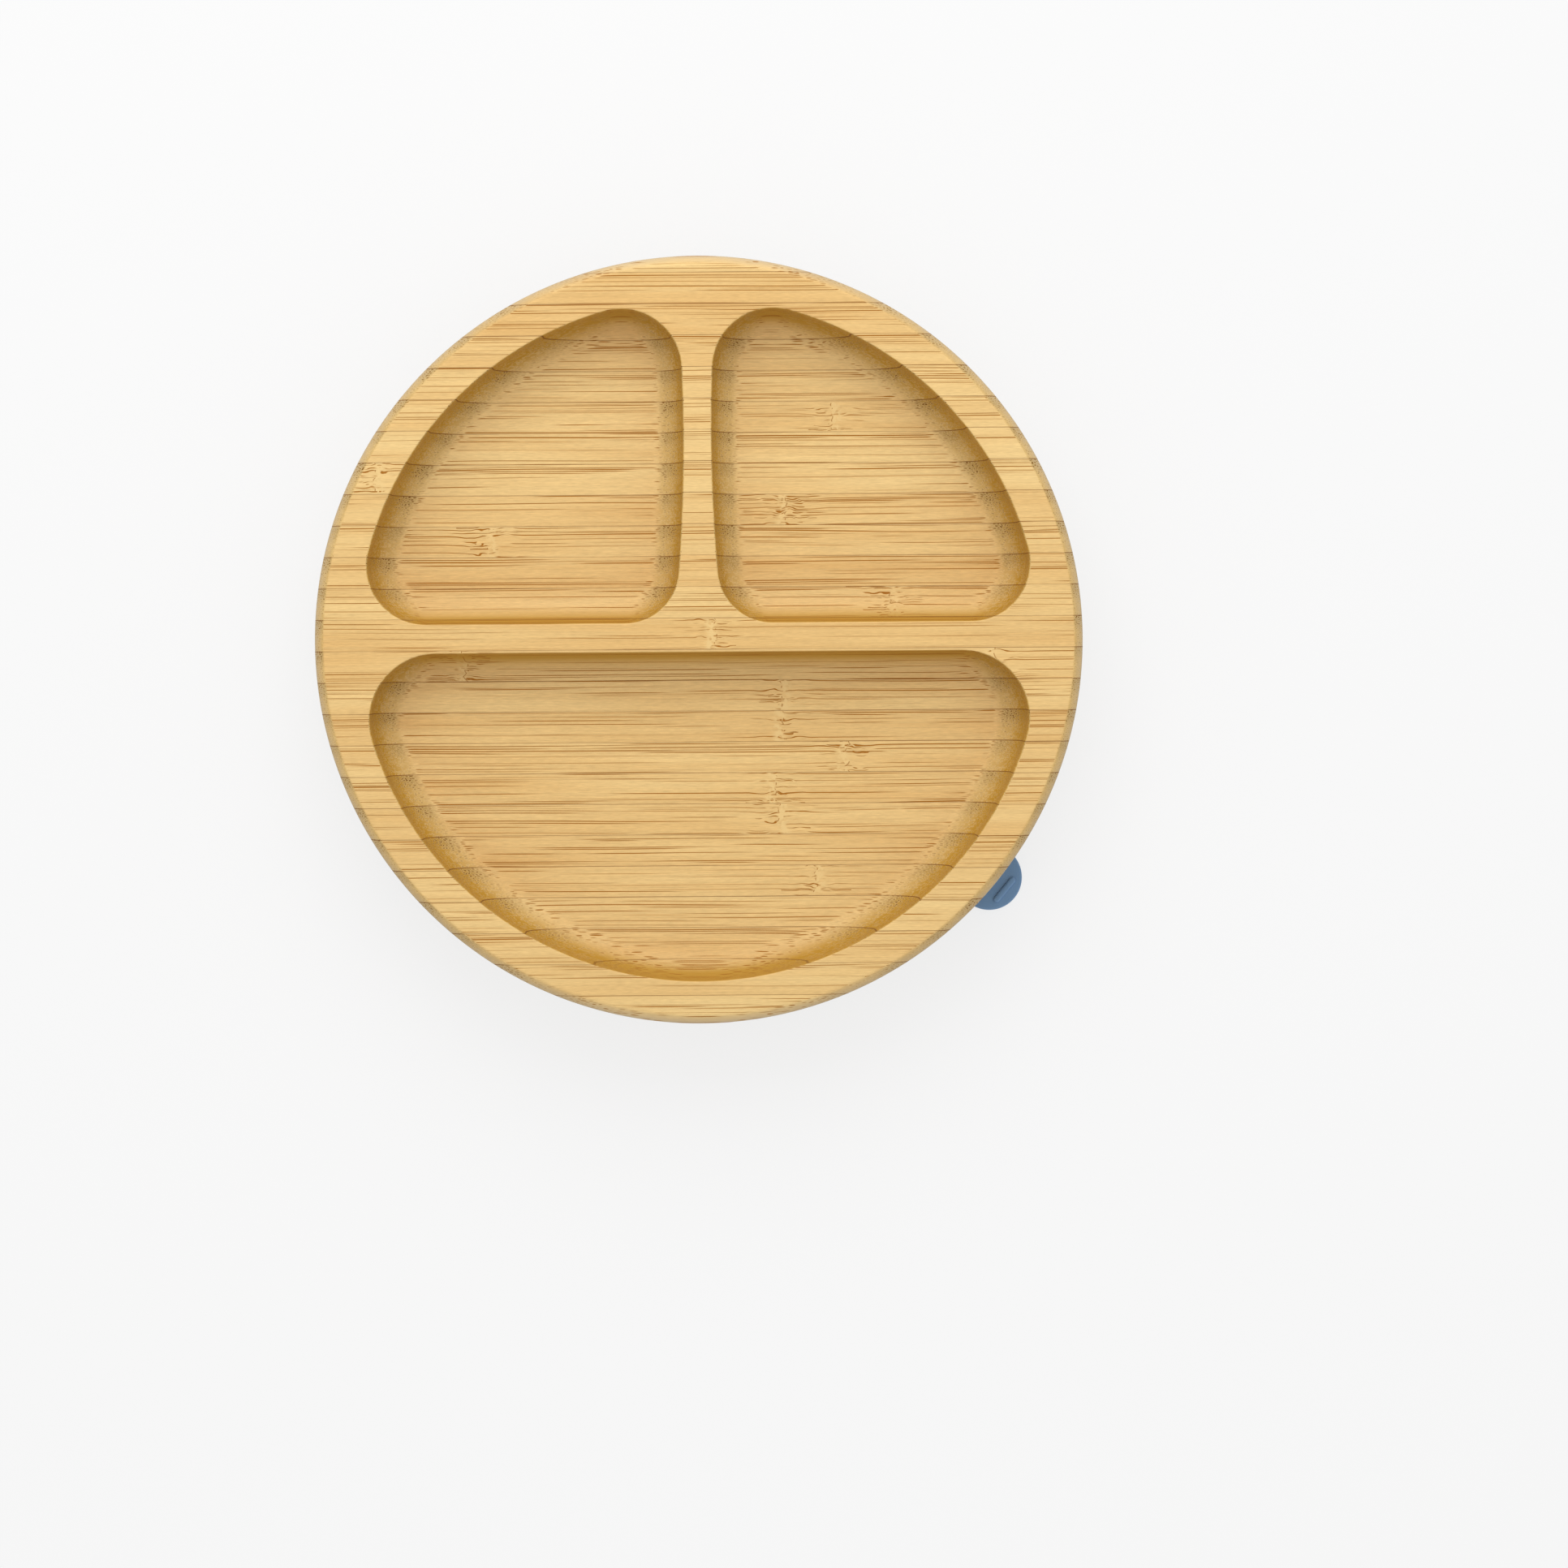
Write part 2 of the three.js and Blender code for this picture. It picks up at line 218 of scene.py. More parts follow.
def select_nothing(mode: SelectMode) -> None:
    """Chooses what is selected in edit mode, and leaves nothing selected."""
    bpy.ops.mesh.select_mode(type=mode.value)
    bpy.ops.mesh.select_all(action="DESELECT")


def edit(piece: Piece) -> None:
    """Opens a piece in edit mode with nothing selected, to select points.

    Args:
        piece: The piece.
    """
    activate(piece)
    bpy.ops.object.mode_set(mode="EDIT")
    select_nothing(SelectMode.POINT)


def leave() -> None:
    """Goes back to object mode."""
    bpy.ops.object.mode_set(mode="OBJECT")


def pick(piece: Piece, mode: SelectMode, wanted: Callable[[Element], bool]) -> None:
    """Selects the edges or faces that pass a test, and nothing else.

    Args:
        piece: The piece in edit mode.
        mode: Edges or faces.
        wanted: Test of one of them.
    """
    select_nothing(mode)
    mesh = bmesh.from_edit_mesh(piece.data)
    for element in mesh.edges if mode is SelectMode.EDGE else mesh.faces:
        if wanted(element):
            element.select_set(True)
    mesh.select_flush_mode()
    bmesh.update_edit_mesh(piece.data)


def level(height: float) -> Callable[[Element], bool]:
    """Returns a test for edges or faces that lie level at a height."""
    return lambda element: all(abs(vert.co.z - height) < TOUCHING for vert in element.verts)


def round_edges(
    piece: Piece, height: float, width: float, segments: int, profile: float = FULL_ROUND
) -> None:
    """Rounds the edges that lie level at a height.

    Args:
        piece: The piece in edit mode.
        height: Height of the edges.
        width: Width of the round.
        segments: Faces across it.
        profile: Its roundness: 0.5 is a full round and 0.25 a straight chamfer.
    """
    pick(piece, SelectMode.EDGE, level(height))
    bpy.ops.mesh.bevel(offset=width, segments=segments, profile=profile, affect="EDGES")


def extrude_up(height: float) -> None:
    """Extrudes the selected faces upwards, or downwards where the height is negative."""
    bpy.ops.mesh.extrude_region_move(TRANSFORM_OT_translate={"value": (0.0, 0.0, height)})


def face_outwards() -> None:
    """Selects all of the piece in edit mode and turns its faces outwards."""
    bpy.ops.mesh.select_all(action="SELECT")
    bpy.ops.mesh.normals_make_consistent(inside=False)


def close_up(piece: Piece) -> None:
    """Merges doubled points, turns all faces outwards, smooths the piece and leaves edit mode.

    Args:
        piece: The piece in edit mode.
    """
    bpy.ops.mesh.select_all(action="SELECT")
    bpy.ops.mesh.remove_doubles(threshold=TOUCHING)
    face_outwards()
    leave()
    activate(piece)
    bpy.ops.object.shade_smooth_by_angle(angle=SMOOTH_ANGLE)


def combine(piece: Piece, tool: Piece, combining: Combining) -> None:
    """Cuts a tool out of a piece, or joins it on, and deletes the tool.

    Args:
        piece: The piece that stays.
        tool: The piece that is used up.
        combining: What the tool does.
    """
    activate(piece)
    modifier = piece.modifiers.new("combine", "BOOLEAN")
    modifier.operation = combining.value
    modifier.solver = "EXACT"
    modifier.object = tool
    bpy.ops.object.modifier_apply(modifier=modifier.name)
    bpy.data.objects.remove(tool)


def join_all(piece: Piece, others: Sequence[Piece]) -> None:
    """Joins other pieces into one piece's mesh.

    Args:
        piece: The piece that stays.
        others: The pieces that become part of it.
    """
    activate(piece)
    for other in others:
        other.select_set(True)
    bpy.ops.object.join()


def turn_piece(piece: Piece, angle: float) -> None:
    """Turns a finished piece about the plate's axis, in its mesh.

    Args:
        piece: The piece.
        angle: Angle that it turns by, counter-clockwise.
    """
    activate(piece)
    piece.rotation_euler = (0.0, 0.0, angle)
    bpy.ops.object.transform_apply(location=False, rotation=True, scale=False)


@dataclass(frozen=True)
class Arc:
    """One arc of an outline.

    Attributes:
        centre: Centre of the arc.
        radius: Its radius.
        start: Angle of its first point.
        sweep: Angle that it covers, positive counter-clockwise.
    """

    centre: Point
    radius: float
    start: float
    sweep: float

    def first_point(self) -> Point:
        """Returns the point where the arc starts."""
        x, y = self.centre
        return (x + self.radius * math.cos(self.start), y + self.radius * math.sin(self.start))


class Pen:
    """Draws a chain of edges in edit mode: each stroke goes on from the last point."""

    def __init__(self, name: str, plane: Plane, start: Point, step: float) -> None:
        """Starts a new piece as a single point.

        Args:
            name: Name of the piece.
            plane: Plane that it is drawn in.
            start: First point.
            step: Longest edge of an arc.
        """
        self.plane = plane
        self.tip = start
        self.step = step
        self.piece = add_piece(name, bpy.ops.mesh.primitive_plane_add, size=MM)
        edit(self.piece)
        bpy.ops.mesh.select_all(action="SELECT")
        bpy.ops.mesh.merge(type="CENTER")
        bpy.ops.transform.translate(value=plane.place(start))

    def line(self, point: Point) -> None:
        """Draws a straight edge to a point.

        Args:
            point: Point where the edge ends.
        """
        move = self.plane.place(point) - self.plane.place(self.tip)
        if move.length > TOUCHING:
            bpy.ops.mesh.extrude_vertices_move(TRANSFORM_OT_translate={"value": move})
            self.tip = point

    def arc(self, arc: Arc) -> None:
        """Draws an arc, with a straight edge first where it starts away from the last point.

        Args:
            arc: The arc.
        """
        self.line(arc.first_point())
        steps = max(2, math.ceil(abs(arc.sweep) * arc.radius / self.step))
        centre = self.plane.place(arc.centre)
        bpy.ops.mesh.spin(steps=steps, angle=-arc.sweep, center=centre, axis=self.plane.value)
        self.tip = Arc(arc.centre, arc.radius, arc.start + arc.sweep, 0.0).first_point()

    def bezier(self, control: Point, end: Point, steps: int) -> None:
        """Draws a quadratic curve from the last point.

        Args:
            control: Point that the curve leans to.
            end: Point where it ends.
            steps: Number of edges.
        """
        corners = (self.tip, control, end)
        for i in range(1, steps + 1):
            t = i / steps
            weights = ((1 - t) ** 2, 2 * t * (1 - t), t**2)
            x = sum(weight * corner[0] for weight, corner in zip(weights, corners))
            y = sum(weight * corner[1] for weight, corner in zip(weights, corners))
            self.line((x, y))

    def close(self) -> None:
        """Joins the last point to the first one."""
        bpy.ops.mesh.select_all(action="SELECT")
        bpy.ops.mesh.remove_doubles(threshold=MEETING)

    def close_as_face(self, height: float) -> None:
        """Closes the outline, fills it with one upward face and lifts that to a height.

        Args:
            height: The height.
        """
        self.close()
        bpy.ops.mesh.edge_face_add()
        bpy.ops.mesh.select_mode(type=SelectMode.FACE.value)
        mesh = bmesh.from_edit_mesh(self.piece.data)
        mesh.faces.ensure_lookup_table()
        if mesh.faces[0].normal.z < 0:
            bpy.ops.mesh.flip_normals()
        bpy.ops.transform.translate(value=(0.0, 0.0, height))

    def close_as_slab(self, low: float, high: float) -> None:
        """Closes the outline and makes it a slab between two heights.

        Args:
            low: Height of its underside.
            high: Height of its top.
        """
        self.close_as_face(low)
        extrude_up(high - low)
        face_outwards()


# Shader nodes


@dataclass(frozen=True)
class Ramp:
    """A smooth step from one level to another.

    Attributes:
        low: Value where the step starts.
        high: Value where it ends.
        start: Level before it.
        end: Level after it.
    """

    low: Any
    high: Any
    start: Any = 0.0
    end: Any = 1.0


@dataclass(frozen=True)
class Cells:
    """Size of a noise's cells in millimetres.

    Attributes:
        along: Their length along the strips.
        across: Their width.
        through: Their depth.
        detail: How many levels of finer noise they hold.
    """

    along: float
    across: float
    through: float
    detail: float = 1.0


class Graph:
    """Adds shader nodes to a tree and links them."""

    def __init__(self, tree: bpy.types.NodeTree) -> None:
        """Keeps the tree that nodes are added to."""
        self.tree = tree

    def feed(self, socket: Socket, value: Any) -> None:
        """Links a socket to another one, or sets it to a plain value.

        Args:
            socket: The input.
            value: The socket that it is linked to, or its value.
        """
        if isinstance(value, bpy.types.NodeSocket):
            self.tree.links.new(value, socket)
        else:
            socket.default_value = value

    def feed_all(self, node: bpy.types.Node, sockets: Mapping[str, Any]) -> None:
        """Links or sets inputs of a node by name."""
        for name, value in sockets.items():
            self.feed(node.inputs[name], value)

    def node(self, kind: str, sockets: Mapping[str, Any] | None = None, **settings: Any) -> bpy.types.Node:
        """Adds a node.

        Args:
            kind: Type of the node.
            sockets: Its inputs by name, as sockets to link or as values.
            **settings: Its other properties.

        Returns:
            The new node.
        """
        made = self.tree.nodes.new(kind)
        for name, value in settings.items():
            setattr(made, name, value)
        self.feed_all(made, sockets or {})
        return made

    def math(self, operation: str, *values: Any) -> Socket:
        """Adds a Math node.

        Args:
            operation: What it does.
            *values: Its inputs, as sockets or numbers.

        Returns:
            Its result.
        """
        made = self.node("ShaderNodeMath", operation=operation)
        for socket, value in zip(made.inputs, values):
            self.feed(socket, value)
        return made.outputs[0]

    def total(self, *values: Any) -> Socket:
        """Adds up two or more values.

        Args:
            *values: The values, as sockets or numbers.

        Returns:
            Their sum.
        """
        result = values[0]
        for value in values[1:]:
            result = self.math("ADD", result, value)
        return result

    def product(self, *values: Any) -> Socket:
        """Multiplies two or more values.

        Args:
            *values: The values, as sockets or numbers.

        Returns:
            Their product.
        """
        result = values[0]
        for value in values[1:]:
            result = self.math("MULTIPLY", result, value)
        return result

    def minus(self, value: Any, other: Any) -> Socket:
        """Takes one value from another."""
        return self.math("SUBTRACT", value, other)

    def over(self, value: Any, divisor: Any) -> Socket:
        """Divides a value."""
        return self.math("DIVIDE", value, divisor)

    def size(self, value: Any) -> Socket:
        """Returns a value without its sign."""
        return self.math("ABSOLUTE", value)

    def ramp(self, value: Any, ramp: Ramp) -> Socket:
        """Maps a value along a smooth step.

        Args:
            value: The value.
            ramp: The step.

        Returns:
            The step's level at that value.
        """
        sockets = {
            "Value": value,
            "From Min": ramp.low,
            "From Max": ramp.high,
            "To Min": ramp.start,
            "To Max": ramp.end,
        }
        return self.node("ShaderNodeMapRange", sockets, interpolation_type="SMOOTHSTEP").outputs["Result"]

    def blend(self, share: Any, first: Any, second: Any, mode: str = "MIX") -> Socket:
        """Mixes two colours.

        Args:
            share: Share of the second colour, from 0 to 1.
            first: First colour.
            second: Second colour.
            mode: How they mix.

        Returns:
            The mixed colour.
        """
        made = self.node("ShaderNodeMix", data_type="RGBA", blend_type=mode)
        for socket, value in zip((made.inputs[0], made.inputs[6], made.inputs[7]), (share, first, second)):
            self.feed(socket, value)
        return made.outputs[2]

    def shade(self, colour: Any, strength: Socket) -> Socket:
        """Multiplies a colour by a strength.

        Args:
            colour: The colour.
            strength: The strength.

        Returns:
            The shaded colour.
        """
        sockets = {"Red": strength, "Green": strength, "Blue": strength}
        grey = self.node("ShaderNodeCombineColor", sockets).outputs[0]
        return self.blend(1.0, colour, grey, mode="MULTIPLY")

    def split(self, vector: Any) -> tuple[Socket, ...]:
        """Returns the three parts of a vector."""
        return tuple(self.node("ShaderNodeSeparateXYZ", {"Vector": vector}).outputs)

    def split_colour(self, colour: Any) -> tuple[Socket, ...]:
        """Returns the three channels of a colour."""
        return tuple(self.node("ShaderNodeSeparateColor", {"Color": colour}).outputs)

    def vector(self, x: Any, y: Any, z: Any = 0.0) -> Socket:
        """Returns a vector of three values."""
        return self.node("ShaderNodeCombineXYZ", {"X": x, "Y": y, "Z": z}).outputs[0]

    def noise(self, x: Any, y: Any, z: Any = 0.0, detail: float = 1.0) -> Socket:
        """Returns noise from 0 to 1, whose cells are one unit of the given coordinates."""
        sockets = {"Vector": self.vector(x, y, z), "Scale": 1.0, "Detail": detail}
        return self.node("ShaderNodeTexNoise", sockets).outputs[0]

    def cells(self, place: Sequence[Socket], cells: Cells) -> Socket:
        """Adds noise whose cells have a given size.

        Args:
            place: Place in millimetres, along, across and through the strips.
            cells: Size of the cells.

        Returns:
            The noise, from 0 to 1.
        """
        sizes = (cells.along, cells.across, cells.through)
        x, y, z = (self.over(part, size) for part, size in zip(place, sizes))
        return self.noise(x, y, z, cells.detail)

    def swing(self, noise: Socket, reach: Any) -> Socket:
        """Turns noise from 0 to 1 into a swing of plus and minus half the reach."""
        return self.product(self.minus(noise, 0.5), reach)

    def bump(self, height: Socket, strength: float, depth: float) -> Socket:
        """Returns the normal of a surface with fine relief."""
        sockets = {"Strength": strength, "Distance": depth, "Height": height}
        return self.node("ShaderNodeBump", sockets).outputs["Normal"]


def node_group(
    name: str, inputs: Mapping[str, SocketKind], outputs: Mapping[str, SocketKind]
) -> tuple[Graph, dict[str, Socket], bpy.types.Node]:
    """Makes an empty shader node group.

    Args:
        name: Name of the group.
        inputs: Kinds of its inputs by name.
        outputs: Kinds of its outputs by name.

    Returns:
        The group's graph, its input sockets by name, and its output node.
    """
    tree = bpy.data.node_groups.new(name, "ShaderNodeTree")
    for side, sockets in (("INPUT", inputs), ("OUTPUT", outputs)):
        for title, kind in sockets.items():
            tree.interface.new_socket(name=title, in_out=side, socket_type=kind.value)
    source = tree.nodes.new("NodeGroupInput")
    sink = tree.nodes.new("NodeGroupOutput")
    return Graph(tree), {title: source.outputs[title] for title in inputs}, sink


def use_group(graph: Graph, name: str, sockets: Mapping[str, Any]) -> Mapping[str, Socket]:
    """Places a node group in a material and returns its outputs."""
    return graph.node("ShaderNodeGroup", sockets, node_tree=bpy.data.node_groups[name]).outputs


def socket_titles(kind: type) -> dict[str, str]:
    """Returns a socket's title for each field of a dataclass: End Grain for end_grain."""
    return {field.name: field.name.replace("_", " ").title() for field in fields(kind)}


def new_material(name: str) -> tuple[bpy.types.Material, Graph, bpy.types.Node]:
    """Makes a material with a Principled shader.

    Args:
        name: Name of the material.

    Returns:
        The material, its graph and its shader node.
    """
    material = bpy.data.materials.new(name)
    material.use_nodes = True
    return material, Graph(material.node_tree), material.node_tree.nodes["Principled BSDF"]


def dress(piece: Piece, material: bpy.types.Material) -> None:
    """Gives a piece one material all over."""
    piece.data.materials.clear()
    piece.data.materials.append(material)


# Finishes

STRIP_FACTS = {
    "Strip": SocketKind.VALUE,
    "Across": SocketKind.VALUE,
    "Shares": SocketKind.COLOUR,
    "Glue Distance": SocketKind.VALUE,
}


@dataclass(frozen=True)
class StripLayout:
    """Node group that parts a board into glued strips along Y.

    It puts out each strip's number, the place across the strip from 0 to 1, three random shares for the
    strip, and the distance to the nearest glue line in millimetres.

    Attributes:
        name: Name of the group.
        seed: Seed of the random shares.
    """

    name: str = "strip_layout"
    seed: float = 1329.0

    def build(self) -> None:
        """Makes the group."""
        inputs = {
            "Vector": SocketKind.VECTOR,
            "Strip Width": SocketKind.VALUE,
            "First Seam": SocketKind.VALUE,
        }
        graph, given, sink = node_group(self.name, inputs, STRIP_FACTS)
        _, y, _ = graph.split(given["Vector"])
        from_seam = graph.minus(graph.over(y, MM), given["First Seam"])
        place = graph.over(from_seam, given["Strip Width"])
        strip = graph.math("FLOOR", place)
        across = graph.minus(place, strip)
        nearest = graph.math("MINIMUM", across, graph.minus(1.0, across))
        seeded = {"W": graph.total(strip, self.seed)}
        shares = graph.node("ShaderNodeTexWhiteNoise", seeded, noise_dimensions="1D").outputs["Color"]
        glue_distance = graph.product(nearest, given["Strip Width"])
        graph.feed_all(sink, dict(zip(STRIP_FACTS, (strip, across, shares, glue_distance))))


@dataclass(frozen=True)
class BambooTones:
    """Colours of a bamboo.

    Attributes:
        honey: The palest wood.
        tan: The darkest wood between bundles.
        streak: Bundles on long grain.
        end_grain: Cut ends of the fibres.
        pore: Bundles on end grain.
        glue_line: Glue lines.
        wall: Steep faces inside the edge, in a darker, deeper tone that is painted shade and bounce light.
        edge: The outer edge, greyer and darker as a painted reflection of the pale surroundings and painted
            shade.
    """

    honey: Colour
    tan: Colour
    streak: Colour
    end_grain: Colour
    pore: Colour
    glue_line: Colour
    wall: Colour
    edge: Colour


@dataclass(frozen=True)
class BambooCut:
    """How a bamboo is grown and cut.

    Attributes:
        bundle_gap: Gap between fibre bundles in millimetres.
        least_crowding: Share of bundles that stay on the open side of a strip.
        streak_strength: How dark streaks are on long grain.
        edge_radius: Where the outer edge starts, in millimetres.
    """

    bundle_gap: float
    least_crowding: float
    streak_strength: float
    edge_radius: float


@dataclass(frozen=True)
class StripNoise:
    """Noise from 0 to 1 that differs from strip to strip.

    Attributes:
        seed: Number that parts one strip's noise from the next one's.
        along: Length of its cells in millimetres, or None where it doesn't change along a strip.
        across: Their width in millimetres, or None where it doesn't change across a strip.
        offset: Number that parts it from another noise with the same seed.
    """

    seed: float
    along: float | None = None
    across: float | None = None
    offset: float = 0.0


@dataclass(frozen=True)
class Spot:
    """A spot of the wood, inside the grain's node group.

    Attributes:
        graph: The group's graph.
        given: The group's inputs.
        place: Its place in millimetres, along, across and through the strips.
        shares: Its strip's three random shares.
        end_grain: 1 where the surface cuts across the fibres, and 0 where it follows them.
        steep: 1 on steep faces, and 0 on level ones.
    """

    graph: Graph
    given: Mapping[str, Socket]
    place: Sequence[Socket]
    shares: Sequence[Socket]
    end_grain: Socket
    steep: Socket

    def noise(self, noise: StripNoise) -> Socket:
        """Adds noise that differs from strip to strip.

        Args:
            noise: Size of its cells, and its seed.

        Returns:
            The noise, from 0 to 1.
        """
        sizes = zip(self.place, (noise.along, noise.across))
        parts = [self.graph.over(part, size) for part, size in sizes if size is not None]
        seed = self.graph.product(self.given["Strip"], noise.seed)
        return self.graph.noise(*parts, self.graph.total(seed, noise.offset))


@dataclass(frozen=True)
class KnuckleMasks:
    """Masks of a knuckle in a strip.

    Attributes:
        bell: Its influence along the strip.
        bend: Sideways bend of the bundles in millimetres.
        patch: Its pale patches.
        dashes: Where its dark dashes lie.
        ticks: Its dark ticks across the strip.
    """

    bell: Socket
    bend: Socket
    patch: Socket
    dashes: Socket
    ticks: Socket


@dataclass(frozen=True)
class Knuckles:
    """Knuckles: bundles waver round pale patches there, and dark dashes start on one side.

    Lengths are millimetres. Middles, falls, starts and ends say how far from the knuckle's own line a mark
    lies and how it fades, and limits say at which noise it starts.
    """

    reach: float = 5.5
    lean: float = 0.9
    wave: float = 2.4
    wave_noise: StripNoise = StripNoise(3.3, along=4.2, across=1.8)
    wander: float = 2.6
    wander_noise: StripNoise = StripNoise(3.3, across=1.6)
    patch_middle: float = -0.8
    patch_fall: Ramp = Ramp(0.3, 2.0, 1.0, 0.0)
    patch_noise: StripNoise = StripNoise(3.3, along=1.3, across=1.1, offset=5.0)
    patch_limit: Ramp = Ramp(0.42, 0.56)
    dash_start: Ramp = Ramp(0.0, 0.4)
    dash_end: Ramp = Ramp(1.0, 7.0, 1.0, 0.0)
    tick_middle: float = 0.15
    tick_fall: Ramp = Ramp(0.03, 0.16, 1.0, 0.0)
    tick_noise: StripNoise = StripNoise(3.3, across=0.9, offset=9.0)
    tick_limit: Ramp = Ramp(0.5, 0.58)

    def masks(self, spot: Spot) -> KnuckleMasks:
        """Adds what the nearest knuckle of the strip does.

        Args:
            spot: A spot of the wood.

        Returns:
            The knuckle's masks.
        """
        graph = spot.graph
        distance = spot.given["Knuckle"]
        reach = graph.over(distance, self.reach)
        bell = graph.math("EXPONENT", graph.product(reach, reach, -1.0))
        lean = graph.product(reach, graph.swing(spot.shares[1], 2.0), self.lean)
        bend = graph.product(bell, graph.total(lean, graph.swing(spot.noise(self.wave_noise), self.wave)))

        # The knuckle's own line wanders, and its darker side differs from strip to strip
        wander = graph.swing(spot.noise(self.wander_noise), self.wander)
        side = graph.total(graph.product(graph.math("GREATER_THAN", spot.shares[1], 0.5), 2.0), -1.0)
        past = graph.product(graph.total(distance, wander), side)
        near = graph.ramp(graph.size(graph.minus(past, self.patch_middle)), self.patch_fall)
        patch = graph.product(near, graph.ramp(spot.noise(self.patch_noise), self.patch_limit))
        dashes = graph.product(graph.ramp(past, self.dash_start), graph.ramp(past, self.dash_end))
        line = graph.ramp(graph.size(graph.minus(past, self.tick_middle)), self.tick_fall)
        ticks = graph.product(line, graph.ramp(spot.noise(self.tick_noise), self.tick_limit))
        return KnuckleMasks(bell, bend, patch, dashes, ticks)


@dataclass(frozen=True)
class BundleMasks:
    """Masks of the fibre bundles.

    Attributes:
        core: The bundles themselves.
        halo: The pale ring round them, partly pale tissue and partly a painted highlight.
        darkness: How dark each bundle is.
        crowding: Share of bundles at this place across the strip.
    """

    core: Socket
    halo: Socket
    darkness: Socket
    crowding: Socket


@dataclass(frozen=True)
class FibreBundles:
    """Dark fibre bundles, which run along X and crowd one edge of each strip.

    They drift in and out of the cut surface, so they show as streaks on long grain and as pores on end
    grain. A pale ring round each is partly pale tissue and partly a painted highlight. Lengths are
    millimetres, and radii, blur and the pale ring are shares of the gap between bundles. Crowding is the
    share of bundles that show, by the place across the strip from 0 to 1.
    """

    drift: float = 1.7
    drift_noise: StripNoise = StripNoise(2.9, along=80.0, across=1.1)
    sway: float = 1.2
    sway_noise: StripNoise = StripNoise(2.9, along=70.0)
    scatter: float = 0.7
    flipped_share: float = 0.08
    crowd_start: float = 0.35
    crowd_end: float = 0.95
    most_crowding: float = 0.95
    more_at_knuckles: float = 0.15
    more_in_dashes: float = 0.35
    more_on_ends: Ramp = Ramp(0.1, 0.85, 0.2, 0.3)
    radius: float = 0.22
    pore_radius: float = 0.27
    radius_swing: float = 0.14
    blur: float = 0.1
    # Width of the pale ring round each bundle: partly pale tissue, partly painted highlight
    halo: float = 0.3
    shades: Ramp = Ramp(0.0, 1.0, 0.15, 0.7)
    darker_in_crowd: float = 0.35
    darker_in_dashes: float = 0.3

    def masks(self, spot: Spot, knuckle: KnuckleMasks) -> BundleMasks:
        """Adds the bundles.

        Args:
            spot: A spot of the wood.
            knuckle: Masks of the nearest knuckle.

        Returns:
            The bundles' masks.
        """
        graph, given = spot.graph, spot.given
        _, y, z = spot.place
        across = graph.total(y, knuckle.bend, graph.swing(spot.noise(self.sway_noise), self.sway))
        depth = graph.total(z, graph.swing(spot.noise(self.drift_noise), self.drift))
        cell_place = graph.vector(*(graph.over(part, given["Bundle Gap"]) for part in (across, depth)))
        sockets = {"Vector": cell_place, "Scale": 1.0, "Randomness": self.scatter}
        cells = graph.node("ShaderNodeTexVoronoi", sockets, voronoi_dimensions="2D").outputs
        chance, weight, width = graph.split_colour(cells["Color"])

        # Most strips are crowded at their back edge, and a knuckle and end grain show more bundles
        flipped = graph.math("LESS_THAN", spot.shares[2], self.flipped_share)
        crowded_side = graph.size(graph.minus(flipped, given["Across"]))
        crowd = Ramp(self.crowd_start, self.crowd_end, given["Least Crowding"], self.most_crowding)
        crowding = graph.ramp(crowded_side, crowd)
        shown = graph.total(
            crowding,
            graph.product(knuckle.bell, self.more_at_knuckles),
            graph.product(knuckle.dashes, self.more_in_dashes),
            graph.product(spot.end_grain, graph.ramp(crowded_side, self.more_on_ends)),
        )
        kept = graph.product(graph.math("LESS_THAN", chance, shown), graph.minus(1.0, knuckle.patch))
        radius = graph.ramp(spot.end_grain, Ramp(0.0, 1.0, self.radius, self.pore_radius))
        edge = graph.minus(cells["Distance"], graph.total(radius, graph.swing(width, self.radius_swing)))
        core = graph.product(graph.ramp(edge, Ramp(-self.blur, self.blur, 1.0, 0.0)), kept)
        # A pale ring round each bundle: partly pale tissue, partly a painted highlight beside it
        halo = graph.product(graph.ramp(edge, Ramp(0.0, self.halo, 1.0, 0.0)), kept)
        darkness = graph.total(
            graph.ramp(weight, self.shades),
            graph.product(crowding, self.darker_in_crowd),
            graph.product(knuckle.dashes, self.darker_in_dashes),
        )
        return BundleMasks(core, halo, graph.math("MINIMUM", darkness, 1.0), crowding)


@dataclass(frozen=True)
class Marks:
    """What shows at a spot of the wood.

    Attributes:
        knuckle: Masks of the nearest knuckle.
        bundles: Masks of the fibre bundles.
        clouds: Slow clouds of tone.
        fibres: Fine fibres.
    """

    knuckle: KnuckleMasks
    bundles: BundleMasks
    clouds: Socket
    fibres: Socket


